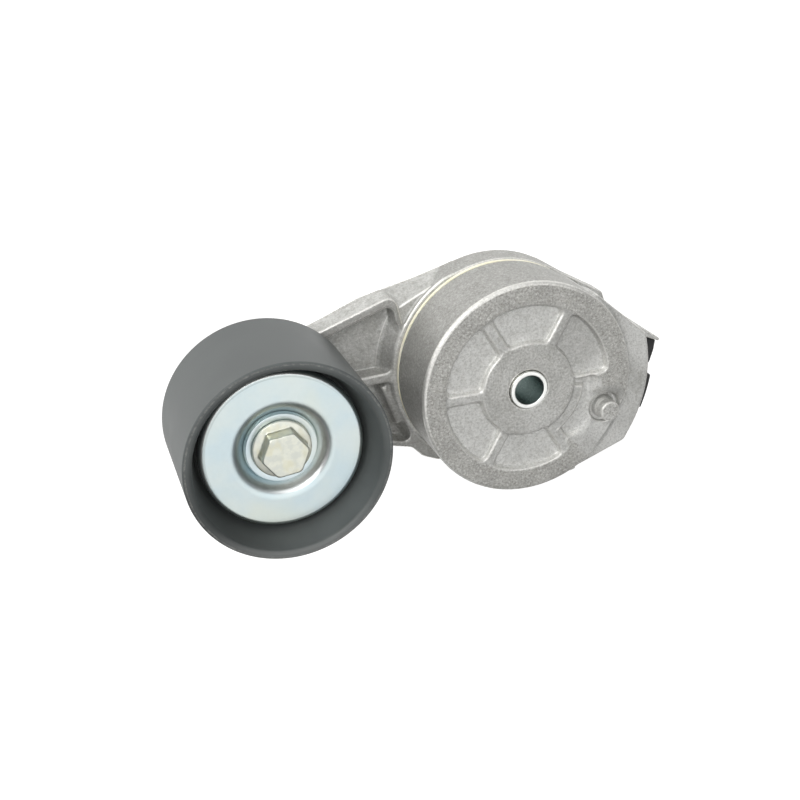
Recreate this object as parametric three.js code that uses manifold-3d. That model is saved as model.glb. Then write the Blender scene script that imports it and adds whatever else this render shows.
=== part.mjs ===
// Automatic belt tensioner with a smooth idler pulley, lying on its back.
// Millimetres, +Z up. The origin is on the pivot axis, in the plane of the mounting face.
// The spring case is the fixed part. The arm turns under it and carries the pulley on the -X side.

import * as THREE from 'three';
import { mergeVertices } from 'three/addons/utils/BufferGeometryUtils.js';
import Module from 'manifold-3d';

const wasm = await Module();
wasm.setup();

// ---------------------------------------------------------------- driving dimensions

const GAP = 0.25;
const FINE = 48;
const ROUND = 32;
const COARSE = 24;

// Spring case: a die-cast cup, open at the back, with a post down its middle.
const CASE_RADIUS = 45.8;
const CASE_DEPTH = 31.6;
const CASE_WALL = 4.0;
const CASE_EDGE = 0.9;
const FLOOR_THICKNESS = 6.0;
const POST_RADIUS = 13.5;
const POST_END = -41.4;
const HUB_RADIUS = 20.0;
const POCKET_RADIUS = 35.4;
const POCKET_DEPTH = 2.5;
const SPOKES = 6;
const SPOKE_WIDTH = 5.2;
const SPOKE_PHASE = -1.5;

// Foot: the lobe beside the cup that holds the locating stub and the two stop ears.
const FOOT_RADIUS = 57.0;
const FOOT_TOP = -4.0;
const FOOT_BACK = -13.5;
const LOW_LEDGE_RADIUS = 25.3;
const STUB_X = 35.5;
const STUB_Y = -16.0;
const STUB_RADIUS = 4.9;
const STUB_TIP_RADIUS = 4.2;
const STUB_EDGE = 0.4;
const STUB_HEIGHT = 3.3;
const STUB_RELIEF_RADIUS = 6.5;
const EAR_BACK = -31.6;
const EAR_TIP_X = 67.2;
const EAR_TIP_Y = 5.4;
const EAR_TIP_WALL = 1.0;
const LOWER_EAR_RADIUS = 55.6;
const STOP_BACK = -30.6;
const STOP_FRONT = -15.1;
const LOWER_STOP = -60.2;
const LOWER_STOP_WIDTH = 5.2;

// Pivot pieces around the M12 mounting bolt.
const SLEEVE_RADIUS = 8.15;
const SLEEVE_BORE = 6.2;
const SLEEVE_PROUD = 1.0;
const BUSHING_WALL = 2.0;
const PLATE_RADIUS = 27.5;
const PLATE_THICKNESS = 2.5;
const THRUST_RADIUS = 27.0;
const ARM_TUBE_RADIUS = 20.4;
const ARM_TUBE_FRONT = -9.0;

// Friction band round the spring.
const BAND_WALL = 3.0;
const BAND_SPLIT = 20;
const BAND_BACK = -29.0;
const BAND_FRONT = -10.0;

// Tension spring.
const WIRE_RADIUS = 2.9;
const COIL_RADIUS = 31.5;
const COIL_TURNS = 3.5;
const COIL_PITCH = 6.3;

// Arm.
const ARM_FRONT = -33.6;
const ARM_BACK = -46.0;
const ARM_HUB_RADIUS = 46.5;
const ARM_END_MARGIN = 1.5;
const ARM_END_SHOULDER = 16.4;
const ARM_POCKET_FLOOR = -41.6;
const ARM_CUP_FLOOR = -35.6;
const ARM_RECESS_FLOOR = -39.8;
const ARM_RECESS_RADIUS = 28.6;
const ARM_SHOULDER_RADIUS = 47.0;
const ARM_SHOULDER_FOOT = 51.5;
const RIM_WIDTH = 4.0;
const FINGER_FRONT = -17.5;
const FINGER_RADIUS = 65.0;

// Pulley and the pieces on its axis.
const PULLEY_X = -105.5;
const PULLEY_RADIUS = 40.0;
const PULLEY_FRONT = 22.0;
const PULLEY_BACK = -29.0;
const PULLEY_EDGE = 0.35;
const PULLEY_LIP = 3.4;
const LIP_ROLL = 1.4;
const WEB_RADIUS = 32.5;
const WEB_FILLET_RISE = 1.3;
const WEB_FILLET_TOP = 6.0;
const HUB_WALL = 4.0;
const WEB_BACK = -9.0;
const BOSS_RADIUS = 13.2;
const BOSS_FACE = -14.6;
const SHEET = 1.1;
const SHIELD_RADIUS = 31.8;
const SHIELD_RISE = 4.6;
const CHANNEL_FOOT = 15.2;
const CHANNEL_TOP = 19.6;
const RIM_END = 1.0;
const BEARING_CENTRE = -4.5;
const BEARING_WIDTH = 17.5;
const BEARING_OUTER = 20.0;
const BEARING_BORE = 8.6;
const PITCH_RADIUS = 14.5;
const BALL_RADIUS = 3.1;
const BALLS = 8;
const ROW_OFFSET = 4.2;
const INNER_FACE = 12.2;
const OUTER_FACE = 16.9;
const SEAL_THICKNESS = 1.0;
const CAGE_INSIDE = 13.3;
const CAGE_OUTSIDE = 15.7;
const BOLT_RADIUS = 5.9;
const HEX_ACROSS_FLATS = 16.4;
const HEX_HEIGHT = 6.5;
const HEX_CHAMFER = 0.6;
const FLANGE_THICKNESS = 1.2;
const BOLT_END = -43.0;
const FLANGE_RADIUS = 11.7;
const WASHER_RADIUS = 14.0;

// ---------------------------------------------------------------- finishes

const finish = (color, roughness, metalness) =>
  new THREE.MeshStandardMaterial({ color, roughness, metalness });

const castAluminium = finish(0xb4b3ae, 0.5, 0.75);
const pulleyBlack = finish(0x454a4a, 0.45, 0.35);
const blueZinc = finish(0xd3e1e0, 0.25, 0.9);
const yellowZinc = finish(0xd9dbcb, 0.35, 0.9);
const plainSteel = finish(0xc9cac2, 0.3, 0.95);
const springSteel = finish(0x55575a, 0.45, 0.8);
const bearingSteel = finish(0xbfc3c6, 0.15, 1.0);
const brassRing = finish(0xc9c18a, 0.35, 0.8);
const darkPolymer = finish(0x2b2d2e, 0.6, 0.0);
const paleNylon = finish(0xcfc9b4, 0.55, 0.0);
const blackRubber = finish(0x1f2021, 0.8, 0.0);

// ---------------------------------------------------------------- helpers

const degrees = (angle) => (angle * Math.PI) / 180;

const polar = (radius, angle) =>
  new THREE.Vector2(radius * Math.cos(degrees(angle)), radius * Math.sin(degrees(angle)));

// Merges shared corners, drops the slivers that an axis leaves, and turns every face outwards.
function closed(geometry) {
  const bare = geometry.clone();
  bare.deleteAttribute('normal');
  bare.deleteAttribute('uv');
  const merged = mergeVertices(bare, 1e-4);
  const place = merged.getAttribute('position');
  const index = merged.getIndex();
  const corners = [0, 1, 2].map(() => new THREE.Vector3());
  const triangles = [];
  let volume = 0;
  for (let i = 0; i < index.count; i += 3) {
    const [a, b, c] = [index.getX(i), index.getX(i + 1), index.getX(i + 2)];
    if (a === b || b === c || a === c) continue;
    triangles.push(a, b, c);
    corners.forEach((corner, k) => corner.fromBufferAttribute(place, index.getX(i + k)));
    volume += corners[0].dot(corners[1].clone().cross(corners[2]));
  }
  if (volume < 0) triangles.reverse();
  merged.setIndex(triangles);
  return merged;
}

function solid(geometry) {
  const merged = closed(geometry);
  const vertProperties = new Float32Array(merged.getAttribute('position').array);
  const triVerts = new Uint32Array(merged.getIndex().array);
  return new wasm.Manifold(new wasm.Mesh({ numProp: 3, vertProperties, triVerts }));
}

const join = (first, ...rest) => rest.reduce((whole, piece) => whole.add(piece), first);

const cut = (first, ...rest) => rest.reduce((whole, piece) => whole.subtract(piece), first);

function geometryOf(shape) {
  const { vertProperties, triVerts } = shape.getMesh();
  const geometry = new THREE.BufferGeometry();
  geometry.setAttribute('position', new THREE.BufferAttribute(vertProperties, 3));
  geometry.setIndex(new THREE.BufferAttribute(triVerts, 1));
  geometry.computeVertexNormals();
  return geometry;
}

// Turns a profile of [radius, z] points about Z. A profile off the axis is closed on itself.
function turned(profile, segments = ROUND) {
  const points = profile.map(([radius, z]) => new THREE.Vector2(radius, z));
  if (points[0].x > 0) points.push(points[0].clone());
  return solid(new THREE.LatheGeometry(points, segments).rotateX(Math.PI / 2));
}

const ring = (inner, outer, low, high, segments = ROUND) =>
  turned([[inner, low], [outer, low], [outer, high], [inner, high]], segments);

const disc = (radius, low, high, segments = ROUND) =>
  turned([[0, low], [radius, low], [radius, high], [0, high]], segments);

// Pulls a flat outline up from z = low to z = high.
function pulled(outline, low, high, curveSegments = 12) {
  const depth = high - low;
  const geometry = new THREE.ExtrudeGeometry(outline, { depth, bevelEnabled: false, curveSegments });
  return solid(geometry.translate(0, 0, low));
}

const outlineOf = (points) => new THREE.Shape(points);

// A sector of a ring whose straight sides keep `side` clear of the spoke centre lines.
function sector(inner, outer, from, to, side = 0) {
  const slack = (radius) => (side > 0 ? (Math.asin(side / radius) * 180) / Math.PI : 0);
  const steps = 8;
  const points = [];
  for (let i = 0; i <= steps; i += 1) {
    const share = i / steps;
    const start = from + slack(outer);
    const end = to - slack(outer);
    points.push(polar(outer, start + (end - start) * share));
  }
  for (let i = steps; i >= 0; i -= 1) {
    const share = i / steps;
    const start = from + slack(inner);
    const end = to - slack(inner);
    points.push(polar(inner, start + (end - start) * share));
  }
  return outlineOf(points);
}

const group = new THREE.Group();
const pulleyAxis = new THREE.Group();
pulleyAxis.position.set(PULLEY_X, 0, 0);
group.add(pulleyAxis);

function place(parent, name, shape, material) {
  const geometry = shape.isBufferGeometry ? shape : geometryOf(shape);
  const mesh = new THREE.Mesh(geometry, material);
  mesh.name = name;
  parent.add(mesh);
}

// ---------------------------------------------------------------- spring case

function springCase() {
  const inside = CASE_RADIUS - CASE_WALL;
  const cup = turned([
    [SLEEVE_RADIUS + GAP, 0],
    [CASE_RADIUS - CASE_EDGE, 0],
    [CASE_RADIUS, -CASE_EDGE],
    [CASE_RADIUS, -CASE_DEPTH],
    [inside, -CASE_DEPTH],
    [inside, -FLOOR_THICKNESS - 2],
    [inside - 2, -FLOOR_THICKNESS],
    [POST_RADIUS + 1.5, -FLOOR_THICKNESS],
    [POST_RADIUS, -FLOOR_THICKNESS - 1.5],
    [POST_RADIUS, POST_END],
    [SLEEVE_RADIUS + GAP, POST_END],
  ], FINE);

  const pitch = 360 / SPOKES;
  const pockets = [];
  for (let i = 0; i < SPOKES - 1; i += 1) {
    const from = SPOKE_PHASE + i * pitch;
    const outline = sector(HUB_RADIUS, POCKET_RADIUS, from, from + pitch, SPOKE_WIDTH / 2);
    pockets.push(pulled(outline, -POCKET_DEPTH, 1));
  }
  const openPocket = sector(LOW_LEDGE_RADIUS, FOOT_RADIUS + 3, -58, -7);
  const opening = pulled(openPocket, -POCKET_DEPTH - 0.7, 1);

  const keepBore = disc(SLEEVE_RADIUS + GAP, POST_END - 1, 1);
  const keepInside = disc(CASE_RADIUS - CASE_WALL, EAR_BACK - 5, -FLOOR_THICKNESS);
  const outside = cut(join(footLobe(), upperEar(), lowerEar()), keepBore, keepInside);
  const stub = turned([
    [0, FOOT_TOP - 1],
    [STUB_RADIUS, FOOT_TOP - 1],
    [STUB_TIP_RADIUS, STUB_HEIGHT - STUB_EDGE],
    [STUB_TIP_RADIUS - STUB_EDGE, STUB_HEIGHT],
    [0, STUB_HEIGHT],
  ], COARSE).translate([STUB_X, STUB_Y, 0]);
  const relief = ring(STUB_RADIUS, STUB_RELIEF_RADIUS, FOOT_TOP, 1, COARSE).translate([STUB_X, STUB_Y, 0]);
  const abutment = pulled(sector(COIL_RADIUS - 3, COIL_RADIUS + 3, -9, -2), -12.5, -FLOOR_THICKNESS + 1);
  return join(cut(join(cup, outside), ...pockets, opening, relief), stub, abutment);
}

// The lobe runs on the cup's tangents out to an arc about the pivot.
function footLobe() {
  const outline = new THREE.Shape();
  outline.moveTo(0, 0);
  const low = polar(CASE_RADIUS + 1.7, -71);
  outline.lineTo(low.x, low.y);
  const corner = polar(FOOT_RADIUS, -37);
  outline.lineTo(corner.x, corner.y);
  outline.absarc(0, 0, FOOT_RADIUS, degrees(-37), degrees(13), false);
  const high = polar(CASE_RADIUS + 1.7, 46);
  outline.lineTo(high.x, high.y);
  return pulled(outline, FOOT_BACK, FOOT_TOP, 14);
}

// The upper ear is a wall that runs on a tangent of the cup past the lobe's edge.
function upperEar() {
  const tip = new THREE.Vector2(EAR_TIP_X, EAR_TIP_Y);
  const start = polar(CASE_RADIUS + 0.1, 51.6);
  const along = tip.clone().sub(start).normalize();
  const inward = new THREE.Vector2(along.y, -along.x);
  const innerTip = tip.clone().addScaledVector(inward, EAR_TIP_WALL);
  const innerStart = start.clone().addScaledVector(inward, 6).addScaledVector(along, 28);
  const root = polar(CASE_RADIUS - 2, 15);
  const outline = outlineOf([polar(CASE_RADIUS - 2, 50), root, innerStart, innerTip, tip, start]);
  return pulled(outline, EAR_BACK, FOOT_BACK + 0.5);
}

function lowerEar() {
  const outline = outlineOf([
    polar(CASE_RADIUS - 2, -71),
    polar(49.0, -69),
    polar(LOWER_EAR_RADIUS - 0.6, -63.5),
    polar(LOWER_EAR_RADIUS, -60.6),
    polar(CASE_RADIUS - 2, -60),
  ]);
  return pulled(outline, EAR_BACK, FOOT_BACK + 0.5);
}

place(group, 'spring_case', springCase(), castAluminium);

// ---------------------------------------------------------------- stops

// Rubber pad behind the lobe, against the upper ear: the arm's finger rests on it.
function upperStopPad() {
  const outline = outlineOf([
    new THREE.Vector2(49.2, 15.4),
    new THREE.Vector2(49.2, -8.4),
    new THREE.Vector2(53.0, -9.9),
    new THREE.Vector2(57.5, -9.9),
    new THREE.Vector2(64.1, -6.2),
    new THREE.Vector2(66.1, -0.6),
    new THREE.Vector2(66.6, 2.2),
  ]);
  return pulled(outline, STOP_BACK, STOP_FRONT);
}

function lowerStopPad() {
  const outline = sector(ARM_HUB_RADIUS + 1.2, FOOT_RADIUS - 1, LOWER_STOP, LOWER_STOP + LOWER_STOP_WIDTH);
  return pulled(outline, STOP_BACK, STOP_FRONT);
}

place(group, 'upper_stop_pad', cut(upperStopPad(), grown(upperEar())), blackRubber);
place(group, 'lower_stop_pad', cut(lowerStopPad(), grown(lowerEar())), blackRubber);

// Grows a solid that was pulled along Z by joining copies of it shifted all round.
function grown(shape) {
  const shifts = [0, 45, 90, 135, 180, 225, 270, 315].map((angle) => polar(GAP, angle));
  const copies = shifts.map(({ x, y }) => shape.translate([x, y, 0]));
  return join(shape, ...copies);
}

// ---------------------------------------------------------------- pivot

const sleeve = turned([
  [SLEEVE_BORE, SLEEVE_PROUD],
  [SLEEVE_RADIUS - 0.4, SLEEVE_PROUD],
  [SLEEVE_RADIUS, SLEEVE_PROUD - 0.4],
  [SLEEVE_RADIUS, POST_END - 2.8],
  [SLEEVE_RADIUS + 2.2, POST_END - 3.4],
  [SLEEVE_RADIUS + 2.2, POST_END - 4.2],
  [SLEEVE_BORE, POST_END - 4.2],
]);
place(group, 'pivot_sleeve', sleeve, plainSteel);

const endPlate = turned([
  [SLEEVE_RADIUS + GAP, POST_END - GAP],
  [PLATE_RADIUS - 1.5, POST_END - GAP],
  [PLATE_RADIUS, POST_END - 1],
  [PLATE_RADIUS, POST_END - PLATE_THICKNESS],
  [SLEEVE_RADIUS + GAP, POST_END - PLATE_THICKNESS],
]);
place(group, 'end_plate', endPlate, blueZinc);

const bushingInside = POST_RADIUS + GAP;
const bushingOutside = bushingInside + BUSHING_WALL;
const pivotBushing = ring(bushingInside, bushingOutside, ARM_RECESS_FLOOR + GAP, ARM_TUBE_FRONT);
place(group, 'pivot_bushing', pivotBushing, paleNylon);

const thrustWasher = ring(
  bushingOutside + 0.5, THRUST_RADIUS, POST_END, ARM_RECESS_FLOOR - 0.1,
);
place(group, 'thrust_washer', thrustWasher, darkPolymer);

const jointRing = ring(
  CASE_RADIUS - CASE_WALL + 0.4, CASE_RADIUS - 0.1, ARM_FRONT + GAP, -CASE_DEPTH - GAP, FINE,
);
place(group, 'joint_ring', jointRing, brassRing);

// Split friction band that the spring presses against the wall of the case.
const bandOutside = CASE_RADIUS - CASE_WALL - GAP;
const bandInside = bandOutside - BAND_WALL;
const bandPlan = sector(bandInside, bandOutside, BAND_SPLIT, 360 - BAND_SPLIT);
const dampingBand = pulled(bandPlan, BAND_BACK, BAND_FRONT);
place(group, 'damping_band', dampingBand, darkPolymer);

// ---------------------------------------------------------------- spring

class CoilPath extends THREE.Curve {
  getPoint(share, target = new THREE.Vector3()) {
    const angle = share * COIL_TURNS * Math.PI * 2;
    const rise = share * COIL_TURNS * COIL_PITCH;
    const top = -FLOOR_THICKNESS - WIRE_RADIUS - GAP;
    return target.set(COIL_RADIUS * Math.cos(angle), COIL_RADIUS * Math.sin(angle), top - rise);
  }
}

function torsionSpring() {
  const section = new THREE.Shape();
  section.absarc(0, 0, WIRE_RADIUS, 0, Math.PI * 2, false);
  const steps = Math.round(COIL_TURNS * 16);
  const settings = { extrudePath: new CoilPath(), steps, curveSegments: 4, bevelEnabled: false };
  return new THREE.ExtrudeGeometry(section, settings);
}
place(group, 'torsion_spring', closed(torsionSpring()), springSteel);

// ---------------------------------------------------------------- arm

// Plan of the arm: hub circle, two straight flanges and a round end under the pulley.
function armOutline(inset = 0) {
  const end = BOSS_RADIUS + ARM_END_MARGIN - inset;
  const topNormal = 110;
  const bottomNormal = 254;
  const shoulder = polar(ARM_END_SHOULDER - inset, topNormal);
  const outline = new THREE.Shape();
  outline.moveTo(-56.3, 35.5 - inset);
  outline.lineTo(PULLEY_X + shoulder.x, shoulder.y);
  outline.absarc(PULLEY_X, 0, end, degrees(topNormal + 30), degrees(bottomNormal), false);
  outline.lineTo(-41.0, -33.6 + inset);
  outline.lineTo(-36.5, -38.6 + inset);
  outline.lineTo(-29.5, -41.8 + inset);
  outline.lineTo(-14, -42.8);
  outline.lineTo(0, 0);
  outline.lineTo(-14, 44.3);
  outline.lineTo(-32.0, 40.1 - inset);
  return outline;
}

// Plan of the stop lug: a flange on the hub's tangent, out to the finger and back to the hub.
function lugOutline() {
  return outlineOf([
    polar(ARM_HUB_RADIUS - 3, 58.7),
    polar(ARM_HUB_RADIUS - 3, -50),
    polar(ARM_HUB_RADIUS, -50),
    polar(FINGER_RADIUS, -22.6),
    polar(FINGER_RADIUS, -17),
    polar(FINGER_RADIUS, -12.4),
    new THREE.Vector2(57.5, 6.0),
    new THREE.Vector2(51.6, 19.6),
    new THREE.Vector2(50.7, 23.0),
    polar(ARM_HUB_RADIUS, 58.7),
  ]);
}

const fingerOutline = (clear = 0) => outlineOf([
  polar(48 - clear, -23.4 - clear),
  polar(FINGER_RADIUS + clear, -22.6 - clear),
  polar(FINGER_RADIUS + clear, -17),
  polar(FINGER_RADIUS + clear, -12.4 + clear),
  polar(48 - clear, -11.8 + clear),
]);

function tensionerArm() {
  const hub = disc(ARM_HUB_RADIUS, ARM_BACK, ARM_FRONT, FINE);
  const web = pulled(armOutline(), ARM_BACK, ARM_FRONT - 0.4);
  const lug = pulled(lugOutline(), ARM_BACK + 1, ARM_FRONT);
  const finger = pulled(fingerOutline(), ARM_FRONT - 2, FINGER_FRONT);
  const boss = turned([
    [0, ARM_BACK],
    [BOSS_RADIUS + ARM_END_MARGIN, ARM_BACK],
    [BOSS_RADIUS + ARM_END_MARGIN, -38],
    [BOSS_RADIUS - 1, -31],
    [BOSS_RADIUS - 2, BOSS_FACE],
    [0, BOSS_FACE],
  ]).translate([PULLEY_X, 0, 0]);
  const tube = disc(ARM_TUBE_RADIUS, ARM_CUP_FLOOR - 1, ARM_TUBE_FRONT);

  // Two lightening pockets, with a spine between them and a wall of hub left beside them.
  const pocketArea = pulled(armOutline(RIM_WIDTH), ARM_POCKET_FLOOR, 0);
  const keepHub = turned([
    [0, ARM_BACK],
    [ARM_SHOULDER_FOOT, ARM_BACK],
    [ARM_SHOULDER_FOOT, ARM_POCKET_FLOOR],
    [ARM_SHOULDER_RADIUS, ARM_FRONT],
    [0, ARM_FRONT],
  ], FINE);
  const keepBoss = disc(BOSS_RADIUS + 3, ARM_BACK, 1).translate([PULLEY_X, 0, 0]);
  const spineOutline = outlineOf([
    new THREE.Vector2(-100, -3),
    new THREE.Vector2(-40, -3),
    new THREE.Vector2(-40, 4.2),
    new THREE.Vector2(-100, 4.2),
  ]);
  const spine = pulled(spineOutline, ARM_BACK, 1);
  const pockets = cut(pocketArea, keepHub, keepBoss, spine);

  const cupRoom = ring(ARM_TUBE_RADIUS, CASE_RADIUS - CASE_WALL, ARM_CUP_FLOOR, 1);
  const recess = disc(ARM_RECESS_RADIUS, ARM_BACK - 1, ARM_RECESS_FLOOR);
  const bore = disc(bushingOutside + GAP, ARM_BACK - 1, 1);
  const boltHole = disc(BOLT_RADIUS + GAP, ARM_BACK - 1, BOSS_FACE + 1, COARSE).translate([PULLEY_X, 0, 0]);
  const coilEnd = (COIL_TURNS % 1) * 360;
  const abutmentPlan = sector(COIL_RADIUS - 3, COIL_RADIUS + 3, coilEnd + 2, coilEnd + 9);
  const abutment = pulled(abutmentPlan, ARM_CUP_FLOOR - 1, ARM_CUP_FLOOR + 5);
  const solids = cut(join(hub, web), pockets);
  const open = cut(join(solids, lug, finger, boss, cut(tube, bore)), cupRoom, recess, bore, boltHole);
  return join(open, abutment);
}
place(group, 'tensioner_arm', tensionerArm(), castAluminium);

// Rubber cap over the finger, open where the finger enters it.
function fingerBuffer() {
  const cap = pulled(sector(53, FINGER_RADIUS + 1.6, -24.4, -10.8), -30.0, FINGER_FRONT + 1.6);
  const room = pulled(fingerOutline(GAP), ARM_FRONT, FINGER_FRONT + GAP);
  return cut(cap, room);
}
place(group, 'finger_buffer', fingerBuffer(), blackRubber);

// ---------------------------------------------------------------- pulley

const bearingFront = BEARING_CENTRE + BEARING_WIDTH / 2;
const bearingBack = BEARING_CENTRE - BEARING_WIDTH / 2;
const hubBore = BEARING_OUTER + GAP;

const pulleyShell = turned([
  [PULLEY_RADIUS - PULLEY_EDGE, PULLEY_BACK],
  [PULLEY_RADIUS, PULLEY_BACK + PULLEY_EDGE],
  [PULLEY_RADIUS, PULLEY_FRONT - PULLEY_EDGE],
  [PULLEY_RADIUS - PULLEY_EDGE, PULLEY_FRONT],
  [PULLEY_RADIUS - PULLEY_LIP + LIP_ROLL, PULLEY_FRONT],
  [PULLEY_RADIUS - PULLEY_LIP + LIP_ROLL / 3, PULLEY_FRONT - LIP_ROLL / 3],
  [PULLEY_RADIUS - PULLEY_LIP, PULLEY_FRONT - LIP_ROLL],
  [WEB_RADIUS + WEB_FILLET_RISE, WEB_FILLET_TOP],
  [WEB_RADIUS, 1.5],
  [hubBore + HUB_WALL, 0],
  [hubBore + HUB_WALL, bearingFront + 2.2],
  [hubBore, bearingFront + 2.2],
  [hubBore, bearingBack],
  [hubBore + HUB_WALL, bearingBack],
  [hubBore + HUB_WALL, WEB_BACK],
  [WEB_RADIUS, WEB_BACK - 1.5],
  [PULLEY_RADIUS - PULLEY_LIP - PULLEY_EDGE, PULLEY_BACK],
], FINE);
place(pulleyAxis, 'pulley_shell', pulleyShell, pulleyBlack);

// Half of a race: the groove that one row of balls runs in, from its low edge to its high edge.
function raceGroove(rowZ, ringRadius, outward) {
  const radius = BALL_RADIUS + 0.25;
  const reach = Math.abs(ringRadius - PITCH_RADIUS);
  const half = Math.acos(reach / radius);
  const steps = 3;
  const points = [];
  for (let i = 0; i <= steps; i += 1) {
    const angle = -half + (2 * half * i) / steps;
    points.push([PITCH_RADIUS + outward * radius * Math.cos(angle), rowZ + radius * Math.sin(angle)]);
  }
  return points;
}

const rows = [BEARING_CENTRE - ROW_OFFSET, BEARING_CENTRE + ROW_OFFSET];

const innerRing = turned([
  [BEARING_BORE, bearingBack],
  [INNER_FACE, bearingBack],
  ...rows.flatMap((rowZ) => raceGroove(rowZ, INNER_FACE, -1)),
  [INNER_FACE, bearingFront],
  [BEARING_BORE, bearingFront],
]);
place(pulleyAxis, 'bearing_inner_ring', innerRing, bearingSteel);

const outerRing = turned([
  [BEARING_OUTER, bearingBack],
  [OUTER_FACE, bearingBack],
  ...rows.flatMap((rowZ) => raceGroove(rowZ, OUTER_FACE, 1)),
  [OUTER_FACE, bearingFront],
  [BEARING_OUTER, bearingFront],
]);
place(pulleyAxis, 'bearing_outer_ring', outerRing, bearingSteel);

const retainingRing = pulled(
  sector(BEARING_OUTER - 2.2, BEARING_OUTER + 0.05, 12, 348), bearingFront + GAP, bearingFront + 1.5,
);
place(pulleyAxis, 'bearing_retaining_ring', retainingRing, springSteel);

const sealInside = INNER_FACE + GAP;
const sealOutside = OUTER_FACE - GAP;
const seals = { front_bearing_seal: bearingFront - 1.2, rear_bearing_seal: bearingBack + 0.2 };
for (const [name, low] of Object.entries(seals)) {
  place(pulleyAxis, name, ring(sealInside, sealOutside, low, low + SEAL_THICKNESS), blackRubber);
}

// One cage for both rows, with the rows half a pitch apart.
const ballPlaces = rows.flatMap((rowZ, row) =>
  Array.from({ length: BALLS }, (_, i) => {
    const spot = polar(PITCH_RADIUS, (360 / BALLS) * (i + row / 2));
    return { name: `${row ? 'front' : 'rear'}_ball_${i + 1}`, x: spot.x, y: spot.y, z: rowZ };
  }));

function bearingCage() {
  const half = ROW_OFFSET + 2.2;
  const band = ring(CAGE_INSIDE, CAGE_OUTSIDE, BEARING_CENTRE - half, BEARING_CENTRE + half, BALLS * 4);
  const pocket = new THREE.CylinderGeometry(BALL_RADIUS + 0.5, BALL_RADIUS + 0.5, 8, 10).rotateZ(Math.PI / 2);
  const pockets = ballPlaces.map(({ x, y, z }) =>
    solid(pocket.clone().rotateZ(Math.atan2(y, x)).translate(x, y, z)));
  return cut(band, ...pockets);
}
place(pulleyAxis, 'bearing_cage', bearingCage(), paleNylon);

for (const { name, x, y, z } of ballPlaces) {
  const ball = closed(new THREE.IcosahedronGeometry(BALL_RADIUS, 1));
  place(pulleyAxis, name, ball.translate(x, y, z), bearingSteel);
}

const bearingSleeve = ring(BOLT_RADIUS + GAP, BEARING_BORE - GAP, bearingBack, bearingFront, COARSE);
place(pulleyAxis, 'bearing_sleeve', bearingSleeve, plainSteel);

// ---------------------------------------------------------------- pulley fixing

// Pressed dust shield: a clamped flat, a coned channel, a raised flat and a rim turned down.
const shieldBack = bearingFront + GAP / 2;
const shieldFlat = shieldBack + SHIELD_RISE;
const shieldLine = [
  [BOLT_RADIUS + 0.5, shieldBack],
  [CHANNEL_FOOT, shieldBack],
  [CHANNEL_TOP - 1.2, shieldFlat - 1.1],
  [CHANNEL_TOP, shieldFlat],
  [SHIELD_RADIUS - 1.9, shieldFlat],
  [SHIELD_RADIUS - 0.6, shieldFlat - 0.5],
  [SHIELD_RADIUS, shieldFlat - 1.6],
  [SHIELD_RADIUS, shieldBack + RIM_END],
];
const offsetUp = ([radius, z]) => [radius, z + SHEET];
const frontShield = turned([
  ...shieldLine.slice(0, -1),
  [SHIELD_RADIUS - SHEET, shieldBack + RIM_END],
  [SHIELD_RADIUS, shieldBack + RIM_END],
  ...shieldLine.slice(0, -1).reverse().map(offsetUp),
]);
place(pulleyAxis, 'front_dust_shield', frontShield, blueZinc);

const rearShieldTop = bearingBack - GAP / 2;
const rearShield = turned([
  [BOLT_RADIUS + 0.5, rearShieldTop],
  [14.0, rearShieldTop],
  [17.0, rearShieldTop - 2.5],
  [29.5, rearShieldTop - 2.5],
  [29.5, rearShieldTop - 2.5 - SHEET],
  [16.5, rearShieldTop - 2.5 - SHEET],
  [13.4, rearShieldTop - SHEET],
  [BOLT_RADIUS + 0.5, rearShieldTop - SHEET],
]);
place(pulleyAxis, 'rear_dust_shield', rearShield, blueZinc);

const washerBack = shieldBack + SHEET + GAP / 2;
const washerFront = washerBack + 1.9;
const boltWasher = ring(BOLT_RADIUS + 0.5, WASHER_RADIUS, washerBack, washerFront);
place(pulleyAxis, 'bolt_washer', boltWasher, blueZinc);

function pulleyBolt() {
  const seat = washerFront + GAP / 2;
  const flangeTop = seat + FLANGE_THICKNESS;
  const headTop = flangeTop + HEX_HEIGHT;
  const shank = turned([
    [0, BOLT_END],
    [BOLT_RADIUS - 1, BOLT_END],
    [BOLT_RADIUS, BOLT_END + 1],
    [BOLT_RADIUS, seat],
    [FLANGE_RADIUS, seat],
    [FLANGE_RADIUS, flangeTop - 0.2],
    [9.0, flangeTop + 0.4],
    [0, flangeTop + 0.4],
  ], COARSE);
  const corner = HEX_ACROSS_FLATS / 2 / Math.cos(Math.PI / 6);
  const hex = new THREE.CylinderGeometry(corner, corner, headTop - seat, 6);
  hex.rotateX(Math.PI / 2).rotateZ(degrees(-25)).translate(0, 0, (headTop + seat) / 2);
  const crown = turned([
    [0, seat - 1],
    [corner, seat - 1],
    [corner, headTop - HEX_CHAMFER],
    [corner - HEX_CHAMFER, headTop],
    [0, headTop],
  ], COARSE);
  return join(shank, solid(hex).intersect(crown));
}
place(pulleyAxis, 'pulley_bolt', pulleyBolt(), yellowZinc);

export default group;
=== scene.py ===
import math

import bmesh
import bpy
import numpy as np
from mathutils import Matrix, Vector


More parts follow.
